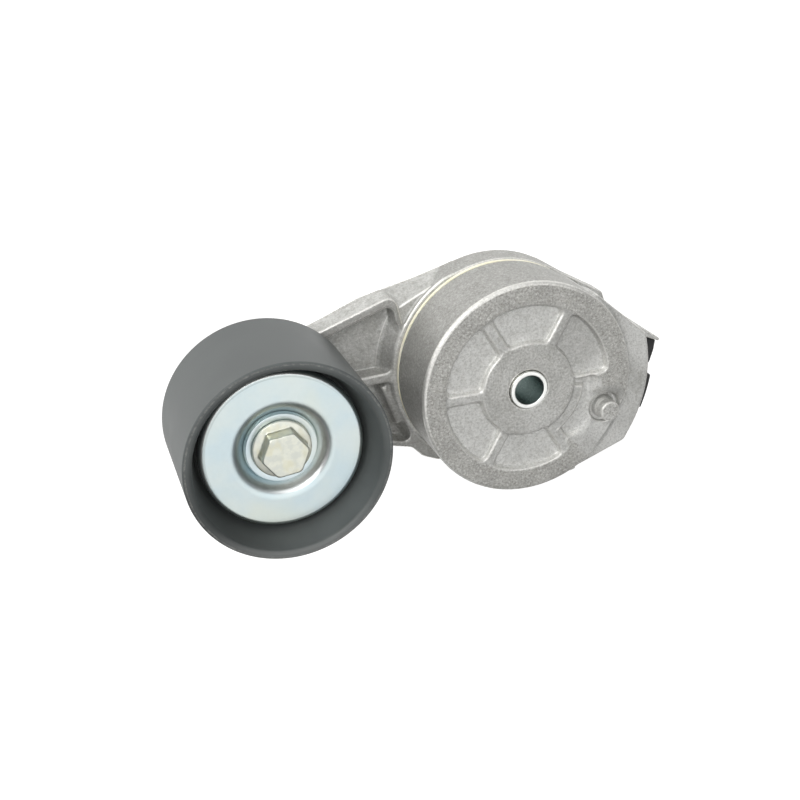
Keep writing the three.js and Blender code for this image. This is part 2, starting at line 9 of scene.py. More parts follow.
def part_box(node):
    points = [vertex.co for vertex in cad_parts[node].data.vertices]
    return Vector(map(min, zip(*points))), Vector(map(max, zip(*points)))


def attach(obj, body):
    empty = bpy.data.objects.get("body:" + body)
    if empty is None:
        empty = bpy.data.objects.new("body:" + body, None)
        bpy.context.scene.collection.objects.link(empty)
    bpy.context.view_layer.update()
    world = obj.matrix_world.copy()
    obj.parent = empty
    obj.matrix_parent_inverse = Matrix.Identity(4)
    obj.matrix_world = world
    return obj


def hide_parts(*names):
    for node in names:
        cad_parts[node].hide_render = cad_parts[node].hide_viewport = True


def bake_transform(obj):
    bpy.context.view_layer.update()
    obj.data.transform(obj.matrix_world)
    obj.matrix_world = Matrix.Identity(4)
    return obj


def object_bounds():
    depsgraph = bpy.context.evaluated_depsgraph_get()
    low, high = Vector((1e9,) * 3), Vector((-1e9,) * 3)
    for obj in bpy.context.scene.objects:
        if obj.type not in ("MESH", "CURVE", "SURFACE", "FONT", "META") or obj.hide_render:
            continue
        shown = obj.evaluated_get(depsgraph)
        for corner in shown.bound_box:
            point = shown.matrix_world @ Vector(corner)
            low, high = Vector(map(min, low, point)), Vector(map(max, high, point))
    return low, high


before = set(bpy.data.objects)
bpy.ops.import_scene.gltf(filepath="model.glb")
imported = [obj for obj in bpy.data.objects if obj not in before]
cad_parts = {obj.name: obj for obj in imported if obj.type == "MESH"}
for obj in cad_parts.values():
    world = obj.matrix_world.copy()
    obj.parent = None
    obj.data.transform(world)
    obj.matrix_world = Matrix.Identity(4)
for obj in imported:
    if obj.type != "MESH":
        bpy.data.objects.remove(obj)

# A belt tensioner with a smooth idler pulley, lying on its back. The CAD frame is in metres.
# Outlines and profiles below are in millimetres, and MM takes them to the frame's metres.

MM = 0.001
CAD_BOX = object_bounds()


def low(node):
    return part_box(node)[0] / MM


def high(node):
    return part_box(node)[1] / MM


def heights(node):
    """The lowest and highest Z of a CAD node, in mm."""
    return low(node).z, high(node).z


def add_object(name, data):
    thing = bpy.data.objects.new(name, data)
    bpy.context.scene.collection.objects.link(thing)
    return thing


# ---------------- camera

CAMERA_PLACE = (-178.8, 199.2, 411.4)
CAMERA_BACK = (-0.2628, 0.4091, 0.8738)
CAMERA_UP = (0.1870, 0.9101, -0.3698)
CAMERA_LENS = 53.77


def make_camera():
    data = bpy.data.cameras.new("camera")
    data.lens = CAMERA_LENS
    data.sensor_width = 36.0
    data.clip_start = 0.01
    data.clip_end = 20.0
    camera = add_object("camera", data)
    back = Vector(CAMERA_BACK).normalized()
    right = Vector(CAMERA_UP).cross(back).normalized()
    up = back.cross(right)
    turn = Matrix((right, up, back)).transposed().to_4x4()
    camera.matrix_world = Matrix.Translation(Vector(CAMERA_PLACE) * MM) @ turn
    bpy.context.scene.camera = camera


make_camera()

# ---------------- outlines and turned pieces


def polar(radius, angle):
    return (radius * math.cos(math.radians(angle)), radius * math.sin(math.radians(angle)))


ARC_STEPS = 6
HOLD = 0.12


def filleted(corners, hold=0.0):
    """A closed outline from (a, b) or (a, b, radius) corners. Each corner with a radius becomes an arc.
    hold adds a point that far before and after each arc, which keeps the shading of flats flat."""
    outline = []
    count = len(corners)
    for i, corner in enumerate(corners):
        here = Vector(corner[:2])
        radius = corner[2] if len(corner) > 2 else 0.0
        if radius <= 0:
            outline.append(tuple(here))
            continue
        before = (Vector(corners[i - 1][:2]) - here).normalized()
        after = (Vector(corners[(i + 1) % count][:2]) - here).normalized()
        half = before.angle(after) / 2
        reach = radius / math.tan(half)
        middle = here + (before + after).normalized() * (radius / math.sin(half))
        start = here + before * reach
        end = here + after * reach
        if hold:
            outline.append(tuple(start + before * hold))
        first = start - middle
        sweep = first.angle_signed(end - middle)
        for step in range(ARC_STEPS + 1):
            turn = Matrix.Rotation(-sweep * step / ARC_STEPS, 2)
            outline.append(tuple(middle + turn @ first))
        if hold:
            outline.append(tuple(end + after * hold))
    return outline


def spun(corners, centre, segments, arc):
    """Vertices (metres) and faces of a closed (radius, z) outline in mm, turned about a Z axis.
    arc gives the first and last angle in degrees of a ring that is split."""
    profile = filleted(corners, HOLD)
    area = sum(a[0] * b[1] - b[0] * a[1] for a, b in zip(profile, profile[1:] + profile[:1]))
    if area < 0:
        profile.reverse()
    count = len(profile)
    first, last = arc or (0.0, 360.0)
    sections = segments + 1 if arc else segments
    vertices = []
    for section in range(sections):
        angle = math.radians(first + (last - first) * section / segments)
        for radius, z in profile:
            x = centre[0] + radius * math.cos(angle)
            y = centre[1] + radius * math.sin(angle)
            vertices.append((x * MM, y * MM, z * MM))
    faces = []
    for section in range(segments):
        here = section * count
        there = (section + 1) % sections * count
        for i in range(count):
            j = (i + 1) % count
            faces.append((here + i, here + j, there + j, there + i))
    if arc:
        faces.append(tuple(reversed(range(count))))
        faces.append(tuple(range(segments * count, sections * count)))
    return vertices, faces


def mesh_from(name, vertices, faces):
    mesh = bpy.data.meshes.new(name)
    mesh.from_pydata(vertices, [], faces)
    mesh.validate()
    mesh.shade_smooth()
    return mesh


def add_piece(name, mesh, material, body, slot, *nodes):
    """Puts a finished mesh in the scene, riding on its body and standing for its CAD nodes."""
    piece = add_object(name, mesh)
    mesh.materials.clear()
    mesh.materials.append(material)
    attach(piece, body)
    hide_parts(*nodes)
    return piece


def add_spun(name, corners, material, body, slot, *nodes, centre=(0.0, 0.0), segments=144, arc=None):
    vertices, faces = spun(corners, centre, segments, arc)
    return add_piece(name, mesh_from(name, vertices, faces), material, body, slot, *nodes)


def add_ring(name, inside, outside, edge, material, body, slot, node, inner_edge=None, **options):
    """A plain ring as high as its CAD node, with rounded edges."""
    bottom, top = heights(node)
    inner = inner_edge or edge
    corners = [(inside, bottom, inner), (outside, bottom, edge), (outside, top, edge), (inside, top, inner)]
    return add_spun(name, corners, material, body, slot, node, **options)


# ---------------- cast shapes from distance fields


class Block:
    """Sample points over a box, in mm. Shapes over it are arrays of distance, negative inside."""

    def __init__(self, lowest, highest, step):
        self.step = step
        self.lowest = np.array(lowest, np.float32)
        counts = [int(math.ceil((b - a) / step)) + 1 for a, b in zip(lowest, highest)]
        axes = [a + step * np.arange(n, dtype=np.float32) for a, n in zip(self.lowest, counts)]
        self.x = axes[0][:, None, None]
        self.y = axes[1][None, :, None]
        self.z = axes[2][None, None, :]
        self.radius = np.hypot(self.x, self.y)

    def circle(self, radius, centre=(0.0, 0.0)):
        return np.hypot(self.x - centre[0], self.y - centre[1]) - np.float32(radius)

    def plan(self, outline):
        """Signed distance to a closed polygon in the XY plane."""
        nearest = np.full((self.x.size, self.y.size, 1), np.inf, np.float32)
        inside = np.zeros(nearest.shape, bool)
        for (ax, ay), (bx, by) in zip(outline, outline[1:] + outline[:1]):
            ex, ey = bx - ax, by - ay
            wx, wy = self.x - ax, self.y - ay
            share = np.clip((wx * ex + wy * ey) / (ex * ex + ey * ey + 1e-12), 0, 1)
            nearest = np.minimum(nearest, (wx - ex * share) ** 2 + (wy - ey * share) ** 2)
            crosses = (ay > self.y) != (by > self.y)
            if ey:
                inside ^= crosses & (wx < ex * wy / ey)
        return np.where(inside, -1, 1) * np.sqrt(nearest)

    def fan(self, start, end, side=0.0):
        """Distance to the wedge between two angles in degrees, with its sides moved inwards."""
        middle, half = math.radians((start + end) / 2), math.radians((end - start) / 2)
        along = self.x * math.cos(middle) + self.y * math.sin(middle)
        across = np.abs(self.y * math.cos(middle) - self.x * math.sin(middle))
        return across * math.cos(half) - along * math.sin(half) + side

    def sector(self, inner, outer, start, end):
        """A piece of a ring between two angles in degrees, under half a turn wide."""
        return np.maximum(np.maximum(self.radius - outer, inner - self.radius), self.fan(start, end))

    def prism(self, plan, bottom, top, edge=0.0, draft=0.0):
        """A plan between two heights. edge rounds its rims, and draft widens it towards the bottom."""
        if draft:
            plan = plan + (self.z - bottom) * draft
        wall = plan + edge
        cap = np.abs(self.z - (bottom + top) / 2) - (top - bottom) / 2 + edge
        outside = np.hypot(np.maximum(wall, 0), np.maximum(cap, 0))
        return np.minimum(np.maximum(wall, cap), 0) + outside - edge


def lofted(block, lower, upper, bottom, top, edge=0.0):
    """A solid between two heights whose plan changes evenly from the lower outline to the upper one."""
    share = np.clip((block.z - bottom) / (top - bottom), 0, 1)
    return block.prism(lower * (1 - share) + upper * share, bottom, top, edge)


def union(a, b, blend=0.0):
    if not blend:
        return np.minimum(a, b)
    near = np.maximum(blend - np.abs(a - b), 0) / blend
    return np.minimum(a, b) - near * near * (blend / 4)


def overlap(a, b, blend=0.0):
    return -union(-a, -b, blend)


def cut(a, b, blend=0.0):
    return overlap(a, -b, blend)


def skin(block, field):
    """Vertices (metres) and quads of the surface where the field is zero, one vertex per cell it crosses."""
    inside = field < 0
    corners = [(i, j, k) for i in (0, 1) for j in (0, 1) for k in (0, 1)]
    shape = tuple(n - 1 for n in field.shape)
    total = np.zeros(shape, np.int8)
    for i, j, k in corners:
        total += inside[i:shape[0] + i, j:shape[1] + j, k:shape[2] + k]
    cells = np.argwhere((total > 0) & (total < 8))
    number = np.full(shape, -1, np.int64)
    number[tuple(cells.T)] = np.arange(len(cells))
    value = {c: field[tuple((cells + c).T)] for c in corners}
    spot = np.zeros((len(cells), 3))
    hits = np.zeros(len(cells))
    for a in corners:
        for axis in range(3):
            if a[axis]:
                continue
            b = tuple(1 if n == axis else a[n] for n in range(3))
            crossed = (value[a] < 0) != (value[b] < 0)
            share = np.where(crossed, value[a] / np.where(crossed, value[a] - value[b], 1), 0)
            point = np.array(a, float) + share[:, None] * np.eye(3)[axis]
            spot += point * crossed[:, None]
            hits += crossed
    vertices = (block.lowest + (cells + spot / hits[:, None]) * block.step) * MM
    quads = []
    for axis in range(3):
        first, second = (axis + 1) % 3, (axis + 2) % 3
        ahead = np.roll(inside, -1, axis)
        changes = inside != ahead
        where = np.argwhere(changes)
        limit = np.array(field.shape) - 1
        keep = (where[:, axis] < limit[axis])
        for other in (first, second):
            keep &= (where[:, other] > 0) & (where[:, other] < limit[other])
        where = where[keep]
        one, two = np.eye(3, dtype=int)[first], np.eye(3, dtype=int)[second]
        ring = [where - one - two, where - two, where, where - one]
        faces = np.stack([number[tuple(r.T)] for r in ring], 1)
        outward = inside[tuple(where.T)]
        faces[~outward] = faces[~outward][:, ::-1]
        quads.append(faces)
    return vertices, np.concatenate(quads)


def add_cast(name, block, field, material, body, slot, *nodes):
    vertices, quads = skin(block, field)
    mesh = mesh_from(name, vertices.tolist(), quads.tolist())
    return add_piece(name, mesh, material, body, slot, *nodes)


# ---------------- materials

PULLEY_BACK, PULLEY_FRONT = heights("pulley_shell")
pulley_centre = ((low("pulley_shell").x + high("pulley_shell").x) / 2, 0.0)
BARREL = 40.0
LIP = 3.4


class Nodes:
    """Short calls that add nodes to a node tree."""

    def __init__(self, tree):
        self.tree = tree

    def fill(self, node, inputs):
        """Sets inputs, by name or number, to values or to other nodes' outputs. None leaves one as it is."""
        for socket, value in inputs.items():
            if value is None:
                continue
            target = node.inputs[socket]
            if isinstance(value, bpy.types.NodeSocket):
                self.tree.links.new(value, target)
            elif isinstance(value, tuple) and len(value) == 3 and len(target.default_value) == 4:
                target.default_value = (*value, 1.0)
            else:
                target.default_value = value

    def node(self, kind, inputs, **settings):
        node = self.tree.nodes.new(kind)
        for name, value in settings.items():
            setattr(node, name, value)
        self.fill(node, inputs)
        return node

    def vector(self, operation, first, second=None, scale=None):
        node = self.node("ShaderNodeVectorMath", {0: first, 1: second, "Scale": scale}, operation=operation)
        return node.outputs["Value" if operation in ("LENGTH", "DISTANCE", "DOT_PRODUCT") else "Vector"]

    def math(self, operation, first, second=0.0):
        return self.node("ShaderNodeMath", {0: first, 1: second}, operation=operation).outputs[0]


class Finish(Nodes):
    """A node material with its Principled shader, and calls for the masks and textures it is made of."""

    def __init__(self, name, roughness=0.5, metallic=0.0, ior=None):
        self.material = bpy.data.materials.new(name)
        self.material.use_nodes = True
        super().__init__(self.material.node_tree)
        self.shader = self.tree.nodes["Principled BSDF"]
        self.fill(self.shader, {"Roughness": roughness, "Metallic": metallic, "IOR": ior})
        place = self.node("ShaderNodeTexCoord", {}).outputs["Object"]
        self.place = self.vector("SCALE", place, scale=1 / MM)

    def axis(self, name):
        return self.node("ShaderNodeSeparateXYZ", {0: self.place}).outputs[name]

    def noise(self, scale, detail, roughness, stretch=None):
        place = self.place if stretch is None else self.vector("MULTIPLY", self.place, stretch)
        inputs = {"Vector": place, "Scale": scale, "Detail": detail, "Roughness": roughness}
        return self.node("ShaderNodeTexNoise", inputs).outputs["Fac"]

    def pits(self, scale):
        return self.node("ShaderNodeTexVoronoi", {"Vector": self.place, "Scale": scale}).outputs["Distance"]

    def span(self, value, low_in, high_in, low_out=0.0, high_out=1.0):
        """A smooth change from low_out to high_out while the value goes from low_in to high_in."""
        inputs = dict(enumerate((value, low_in, high_in, low_out, high_out)))
        return self.node("ShaderNodeMapRange", inputs, interpolation_type="SMOOTHSTEP").outputs[0]

    def band(self, value, start, end, soft):
        """1 between start and end, fading to 0 over soft on either side."""
        return self.all(self.span(value, start - soft, start), self.span(value, end + soft, end))

    def all(self, first, *rest):
        """The product of masks and shares."""
        for mask in rest:
            first = self.math("MULTIPLY", first, mask)
        return first

    def any(self, first, *rest):
        """The strongest of some masks."""
        for mask in rest:
            first = self.math("MAXIMUM", first, mask)
        return first

    def offset(self, centre):
        """Where a point lies from an axis along Z, in mm."""
        return self.vector("SUBTRACT", self.place, (*centre, 0.0))

    def along(self, direction, centre=(0.0, 0.0)):
        """How far a point lies along a direction from an axis along Z, in mm."""
        return self.vector("DOT_PRODUCT", self.offset(centre), direction)

    def reach(self, centre=(0.0, 0.0)):
        """Distance from an axis along Z, in mm."""
        return self.vector("LENGTH", self.vector("MULTIPLY", self.offset(centre), (1.0, 1.0, 0.0)))

    def mix(self, share, first, second):
        return self.node("ShaderNodeMix", {0: share, 6: first, 7: second}, data_type="RGBA").outputs[2]

    def over(self, color, *layers):
        """Lays tones over a colour, each through its mask."""
        for mask, tone in layers:
            color = self.mix(mask, color, tone)
        return color

    def edges(self, sharp, sharpest):
        """1 on convex edges and 0 elsewhere."""
        pointiness = self.node("ShaderNodeNewGeometry", {}).outputs["Pointiness"]
        return self.span(pointiness, sharp, sharpest)

    def facing(self):
        """How far the surface faces along +Z, from -1 to 1."""
        normal = self.node("ShaderNodeTexCoord", {}).outputs["Normal"]
        return self.vector("DOT_PRODUCT", normal, (0.0, 0.0, 1.0))

    def bump(self, height, distance, strength, under=None):
        inputs = {"Height": height, "Distance": distance * MM, "Strength": strength, "Normal": under}
        return self.node("ShaderNodeBump", inputs).outputs[0]

    def finish(self, color, roughness=None, normal=None, metallic=None):
        inputs = {"Base Color": color, "Roughness": roughness, "Normal": normal, "Metallic": metallic}
        self.fill(self.shader, inputs)
        return self.material


SKIN_TONES = ((0.47, 0.47, 0.45), (0.58, 0.58, 0.56))
GROUND_TONES = ((0.40, 0.395, 0.375), (0.50, 0.495, 0.47))
BLOTCHED = (0.30, 0.29, 0.26)
DARK_GRAIN = (0.20, 0.195, 0.175)
PALE_GRAIN = (0.80, 0.80, 0.77)
# The next four tones paint light and shade: bright edges that are partly wear and partly painted highlight,
# painted shade, and two paler tones for painted light.
WEAR_AND_HIGHLIGHT = (0.90, 0.89, 0.85)
SHADED = (0.26, 0.255, 0.24)
PALE = (0.75, 0.75, 0.73)
PALE_WALL = (0.86, 0.855, 0.82)
# Pools of painted light on the casting, painted as paler areas: centre, radius and strength. The centre
# after them is that of a darker patch.
LIT_PATCHES = (
    ((38.0, -29.0, -3.0), 22.0, 0.42),
    ((55.0, 12.0, -8.0), 18.0, 0.55),
    ((4.0, -14.0, 0.0), 12.0, 0.30),
)
DARK_PATCH_CENTRE = (24.0, 19.0, -2.4)


def wear_and_highlight_lines(look):
    """Thin bright lines painted along edges: joint, mouth of the case, arm's rim, ledge and foot. They stand
    partly for rubbed wear and partly for painted highlights, most of them only on the side facing the key
    light.
    """
    radius, x, y, height = look.reach(), look.axis("X"), look.axis("Y"), look.axis("Z")
    joint = look.all(look.band(radius, 46.7, 47.1, 0.2), look.band(height, -34.2, -33.3, 0.2),
                     look.span(look.along((-0.707, 0.707, 0.0)), 43.0, 45.4), 0.85)
    mouth = look.all(look.span(radius, 45.0, 45.5), look.band(height, -31.8, -31.1, 0.2),
                     look.span(look.along((-0.7, 0.7, 0.0)), 10.0, 34.0), 0.55)
    wedge = look.all(look.band(look.along((-0.416, 0.909, 0.0)), 45.8, 46.2, 0.25),
                     look.band(height, -36.2, -35.4, 0.2), look.band(x, -41.5, -27.0, 1.0), 0.75)
    rim = look.all(look.band(look.along((-0.302, 0.953, 0.0)), 49.5, 50.1, 0.2),
                   look.band(height, -34.7, -34.1, 0.2), look.span(x, -44.0, -46.0), 0.6)
    ledge = look.all(look.band(radius, 24.3, 24.9, 0.2), look.span(x, 10.0, 14.0),
                     look.band(y, -21.0, -3.5, 1.0), look.band(height, -1.0, 0.5, 0.2), 0.75)
    foot = look.all(look.band(radius, 52.1, 52.8, 0.3), look.span(height, -40.6, -41.0),
                    look.band(y, 7.0, 26.0, 2.0), 0.6)
    return look.any(joint, mouth, wedge, rim, ledge, foot)


def cast_aluminium():
    """Die-cast skin: pale grey and coarse-grained, with darker blotches and a darker patch, duller ground
    faces, bright worn edges with painted highlights, painted shade in hollows and on shaded sides, and pools
    of painted light.
    """
    look = Finish("cast_aluminium")
    blotches = look.span(look.noise(0.09, 5.0, 0.62), 0.36, 0.66)
    patches = look.noise(0.35, 3.0, 0.6)
    grain = look.noise(1.0, 3.0, 0.8)
    radius, facing = look.reach(), look.facing()
    x, y, height = look.axis("X"), look.axis("Y"), look.axis("Z")
    level_face = look.span(facing, 0.9, 0.98)
    upright = look.span(facing, 0.4, 0.1)
    machined = look.all(look.span(height, -0.22, -0.06), level_face, look.span(radius, 19.0, 24.0, 0.4, 1.0))
    color = look.mix(machined, look.mix(blotches, *SKIN_TONES), look.mix(blotches, *GROUND_TONES))
    blotched = look.span(patches, 0.45, 0.72, 0.0, 0.42)
    # Painted light: the floors and walls of the spoke pockets on the case are painted paler, as if lit.
    lit_pocket_floor = look.all(look.band(height, -2.9, -2.0, 0.3), level_face,
                            look.span(radius, 46.0, 45.0), 0.35)
    lit_pocket_wall = look.all(look.band(height, -2.2, -0.25, 0.15), look.span(facing, 0.93, 0.80),
                           look.span(radius, 38.0, 36.6), 0.65)
    color = look.over(color, (blotched, BLOTCHED), (lit_pocket_floor, PALE), (lit_pocket_wall, PALE_WALL))
    # Painted light: paler pools laid over the casting around each centre.
    for centre, size, share in LIT_PATCHES:
        lit_patch = look.span(look.vector("DISTANCE", look.place, centre), size, size * 0.4, 0.0, share)
        color = look.mix(lit_patch, color, PALE)

    # A darker patch in the SHADED tone, below the front face around the centre given above.
    dark_patch = look.all(look.span(look.vector("DISTANCE", look.place, DARK_PATCH_CENTRE), 18.0, 7.0, 0.0, 0.42),
                     look.span(height, -0.15, -0.30))
    on_arm = look.span(radius, 47.3, 47.7)
    off_spine = look.span(look.math("ABSOLUTE", y), 5.0, 7.0)
    rim_flat = look.all(look.band(height, -34.3, -33.8, 0.2), level_face, on_arm, off_spine, 0.55)
    web_floor = look.all(look.span(height, -40.8, -41.3), level_face, on_arm, 0.30)
    hub_slope = look.all(look.band(radius, 47.7, 51.0, 1.0), look.band(height, -40.5, -34.7, 0.4),
                         look.span(y, 24.0, 18.0), look.span(x, -30.0, -36.0), 0.42)
    case_side = look.all(look.band(radius, 45.6, 46.0, 0.2), upright, look.span(height, -32.5, -31.0), 0.60)
    hub_side = look.all(look.band(radius, 45.8, 47.2, 0.3), upright, look.span(height, -34.3, -34.8), 0.50)
    shaded = look.any(rim_flat, web_floor, hub_slope, case_side, hub_side)

    grain_share = look.span(machined, 0.0, 1.0, 0.55, 1.0)
    dark_grain = look.all(look.span(grain, 0.48, 0.62, 0.0, 0.55), grain_share)
    pale_grain = look.all(look.span(grain, 0.46, 0.34, 0.0, 0.50), grain_share)
    # Painted highlight: the rounded front edge of the case is painted bright on its upper-left side only,
    # where the key light catches it.
    lit_front_edge = look.all(look.band(radius, 44.4, 46.0, 0.4), look.span(height, -1.7, -1.2),
                      look.span(look.along((-0.6, 0.8, 0.0)), 4.0, 30.0),
                      look.span(grain, 0.36, 0.60, 0.80, 0.55))
    edges = look.all(look.edges(0.508, 0.545), look.span(grain, 0.36, 0.56, 0.90, 0.60),
                     look.span(rim_flat, 0.2, 0.0))
    # Worn convex edges together with painted highlights, all laid in one bright tone.
    wear_and_highlight = look.any(edges, lit_front_edge, wear_and_highlight_lines(look))
    color = look.over(color, (dark_patch, SHADED), (shaded, SHADED), (dark_grain, DARK_GRAIN),
                      (pale_grain, PALE_GRAIN), (wear_and_highlight, WEAR_AND_HIGHLIGHT))
    smoother = look.math("MULTIPLY", wear_and_highlight, 0.10)
    roughness = look.math("SUBTRACT", look.span(grain, 0.3, 0.7, 0.40, 0.60), smoother)
    metallic = look.math("ADD", look.math("MULTIPLY", wear_and_highlight, 0.35), 0.5)
    fine = look.bump(grain, 0.22, 0.7)
    normal = look.bump(look.span(look.pits(1.2), 0.0, 0.30), 0.07, 0.6, fine)
    return look.finish(color, roughness, normal, metallic)


def pulley_coating():
    """Satin black coating with a slow drift of tone, scuffed along its front rim, with painted shade on its
    lower-left side and painted light along the bottom of its lip.
    """
    look = Finish("pulley_coating", ior=1.36)
    haze = look.noise(0.05, 3.0, 0.5)
    fine = look.noise(2.2, 2.0, 0.6)
    rub = look.noise(0.5, 4.0, 0.7)
    radius = look.reach(pulley_centre)
    color = look.mix(look.span(haze, 0.3, 0.7), (0.080, 0.088, 0.087), (0.100, 0.109, 0.107))
    # Painted shade: the barrel is painted darker on its lower-left side, away from the light.
    shaded_side = look.span(look.along((-0.80, -0.60, 0.0), pulley_centre), 23.0, 39.0, 0.0, 0.6)
    front = look.span(look.axis("Z"), PULLEY_FRONT - 1.0, PULLEY_FRONT - 0.5)
    rim = look.all(look.band(radius, BARREL - 1.1, BARREL - 0.7, 0.25), front,
                   look.span(rub, 0.40, 0.66, 0.04, 0.30))
    # Painted light: the front of the lip is painted paler along its bottom.
    lit_low_side = look.all(look.span(look.axis("Y"), -18.0, -38.0), look.span(radius, 35.0, 38.0), front, 0.35)
    color = look.over(color, (shaded_side, (0.030, 0.033, 0.033)), (rim, (0.40, 0.395, 0.37)),
                      (lit_low_side, (0.24, 0.245, 0.24)))
    roughness = look.span(haze, 0.3, 0.7, 0.42, 0.50)
    return look.finish(color, roughness, look.bump(fine, 0.02, 0.35))


def zinc(name, pale, blue, yellow, roughness, rim=None, mottle=1.0):
    """Zinc plating with drifts of colour over bright metal. rim gives the radii of a ring painted with a
    bright highlight on its upper side, with painted shade just inside it and a painted highlight in the
    channel on the near side.
    """
    look = Finish(name, metallic=1.0)
    cloud = look.noise(0.06 * mottle, 3.0, 0.5)
    tint = look.noise(0.04 * mottle, 2.0, 0.5, (1.0, 0.7, 1.3))
    fine = look.noise(0.9, 3.0, 0.6)
    color = look.mix(look.span(cloud, 0.35, 0.65), pale, blue)
    color = look.mix(look.span(tint, 0.48, 0.70, 0.0, 0.55), color, yellow)
    if rim:
        inner, outer = rim
        radius = look.reach(pulley_centre)
        upper = look.span(look.along((-0.6, 0.8, 0.0), pulley_centre), -12.0, 22.0)
        # Painted highlight: the shield's rolled edge is painted near white on its upper side, with painted
        # shade just inside it.
        rim_highlight = look.all(look.band(radius, inner + 0.3, outer - 0.3, 0.3), upper)
        shaded = look.all(look.band(radius, inner - 0.6, inner - 0.3, 0.4), upper, 0.5)
        # Painted highlight: the near side of the channel round the washer is painted near white.
        near_side = look.span(look.along((0.94, -0.34, 0.0), pulley_centre), -12.0, 13.0, 0.15, 0.85)
        channel_highlight = look.all(look.band(radius, 15.0, 18.0, 0.7), near_side)
        color = look.over(color, (rim_highlight, (0.95, 0.97, 0.95)), (shaded, (0.35, 0.40, 0.39)),
                          (channel_highlight, (0.99, 1.0, 0.99)))
    rough = look.span(fine, 0.3, 0.7, roughness - 0.02, roughness + 0.03)
    wave = look.noise(0.12, 2.0, 0.4)
    return look.finish(color, rough, look.bump(wave, 0.02, 0.5))


def bored_steel():
    """A turned steel sleeve: bright outside and on its end, dark and bluish in its bore."""
    look = Finish("sleeve_steel", metallic=1.0)
    cloud = look.noise(0.12, 3.0, 0.5)
    fine = look.noise(1.6, 3.0, 0.6)
    color = look.mix(look.span(cloud, 0.3, 0.7), (0.84, 0.85, 0.82), (0.95, 0.95, 0.92))
    color = look.mix(look.span(look.reach(), 6.45, 6.25), color, (0.38, 0.44, 0.43))
    rough = look.span(fine, 0.3, 0.7, 0.26, 0.36)
    return look.finish(color, rough, look.bump(fine, 0.01, 0.4))


def plain(name, dark, light, roughness, metallic=0.0, scale=0.8, depth=0.01):
    """An even material with a slow drift of tone and a fine surface grain."""
    look = Finish(name, metallic=metallic)
    cloud = look.noise(scale * 0.15, 3.0, 0.5)
    fine = look.noise(scale * 2.0, 3.0, 0.6)
    color = look.mix(look.span(cloud, 0.3, 0.7), dark, light)
    rough = look.span(fine, 0.3, 0.7, roughness - 0.05, roughness + 0.05)
    return look.finish(color, rough, look.bump(fine, depth, 0.4))


ALUMINIUM = cast_aluminium()
COATING = pulley_coating()
SHIELD_ZINC = zinc("shield_zinc", (0.61, 0.68, 0.675), (0.55, 0.65, 0.68), (0.66, 0.69, 0.60), 0.33,
                   rim=(30.5, 31.6))
BLUE_ZINC = zinc("blue_zinc", (0.60, 0.66, 0.66), (0.54, 0.63, 0.66), (0.64, 0.67, 0.58), 0.30)
BOLT_ZINC = zinc("bolt_zinc", (0.73, 0.74, 0.65), (0.63, 0.65, 0.59), (0.66, 0.64, 0.47), 0.36, mottle=6.0)
SLEEVE_STEEL = bored_steel()
SPRING_STEEL = plain("spring_steel", (0.09, 0.09, 0.10), (0.17, 0.17, 0.18), 0.42, 0.9)
BEARING_STEEL = plain("bearing_steel", (0.66, 0.67, 0.68), (0.72, 0.73, 0.74), 0.12, 1.0, 0.5, 0.002)
RING_BRASS = plain("joint_ring", (0.92, 0.88, 0.66), (0.98, 0.95, 0.80), 0.40, 0.1)
FRICTION = plain("friction_polymer", (0.03, 0.03, 0.032), (0.05, 0.05, 0.052), 0.55)
NYLON = plain("pale_nylon", (0.58, 0.54, 0.42), (0.68, 0.64, 0.52), 0.5)
RUBBER = plain("black_rubber", (0.022, 0.022, 0.023), (0.045, 0.045, 0.044), 0.75)

# ---------------- spring case

CASE_STEP = 0.48
JOINT_GAP = 0.25
RING_SETBACK = 0.1
EAR_OVERHANG = 1.0
LOBE_GAP = 1.6
case_radius = high("joint_ring").x + RING_SETBACK
case_back = high("joint_ring").z + JOINT_GAP
ear_back = low("upper_stop_pad").z - EAR_OVERHANG
lobe_back = high("upper_stop_pad").z + LOBE_GAP
FOOT_TOP = -4.0
FOOT_RADIUS = 57.2
POST_RADIUS = 13.5
POST_END = -41.4
SLEEVE_HOLE = 8.4
CASE_WALL = 4.0
FRONT_EDGE = 1.4
LOBE_EDGE = 0.45
FLOOR = 6.0
HUB = 20.6
POCKET = 35.4
POCKET_DEPTH = 2.4
LEDGE = 24.8
LOW_DEPTH = 2.6
SPOKES = 6
SPOKE_PHASE = -1.5
SPOKE_HALF = 2.6
STUB = (35.5, -16.0)
STUB_RADIUS = 4.95
STUB_TOP = 3.3
STUB_DRAFT = 0.075
RELIEF_RADIUS = 6.7
HUB_EDGE = 20.8
SPOKE_DROP = 0.35
EAR_TIP = (67.2, 5.4)


def spoke_pockets(block):
    """Five closed pockets as one plan. The sixth place is the lowered area beside the stub."""
    pitch = 360 / SPOKES
    field = None
    for i in range(SPOKES - 1):
        start = SPOKE_PHASE + i * pitch
        sides = block.fan(start, start + pitch, SPOKE_HALF)
        pocket = overlap(overlap(block.radius - POCKET, sides, 3.0), HUB - block.radius, 2.0)
        field = pocket if field is None else np.minimum(field, pocket)
    return field


def smooth(value, low_in, high_in):
    share = np.clip((value - low_in) / (high_in - low_in), 0, 1)
    return share * share * (3 - 2 * share)


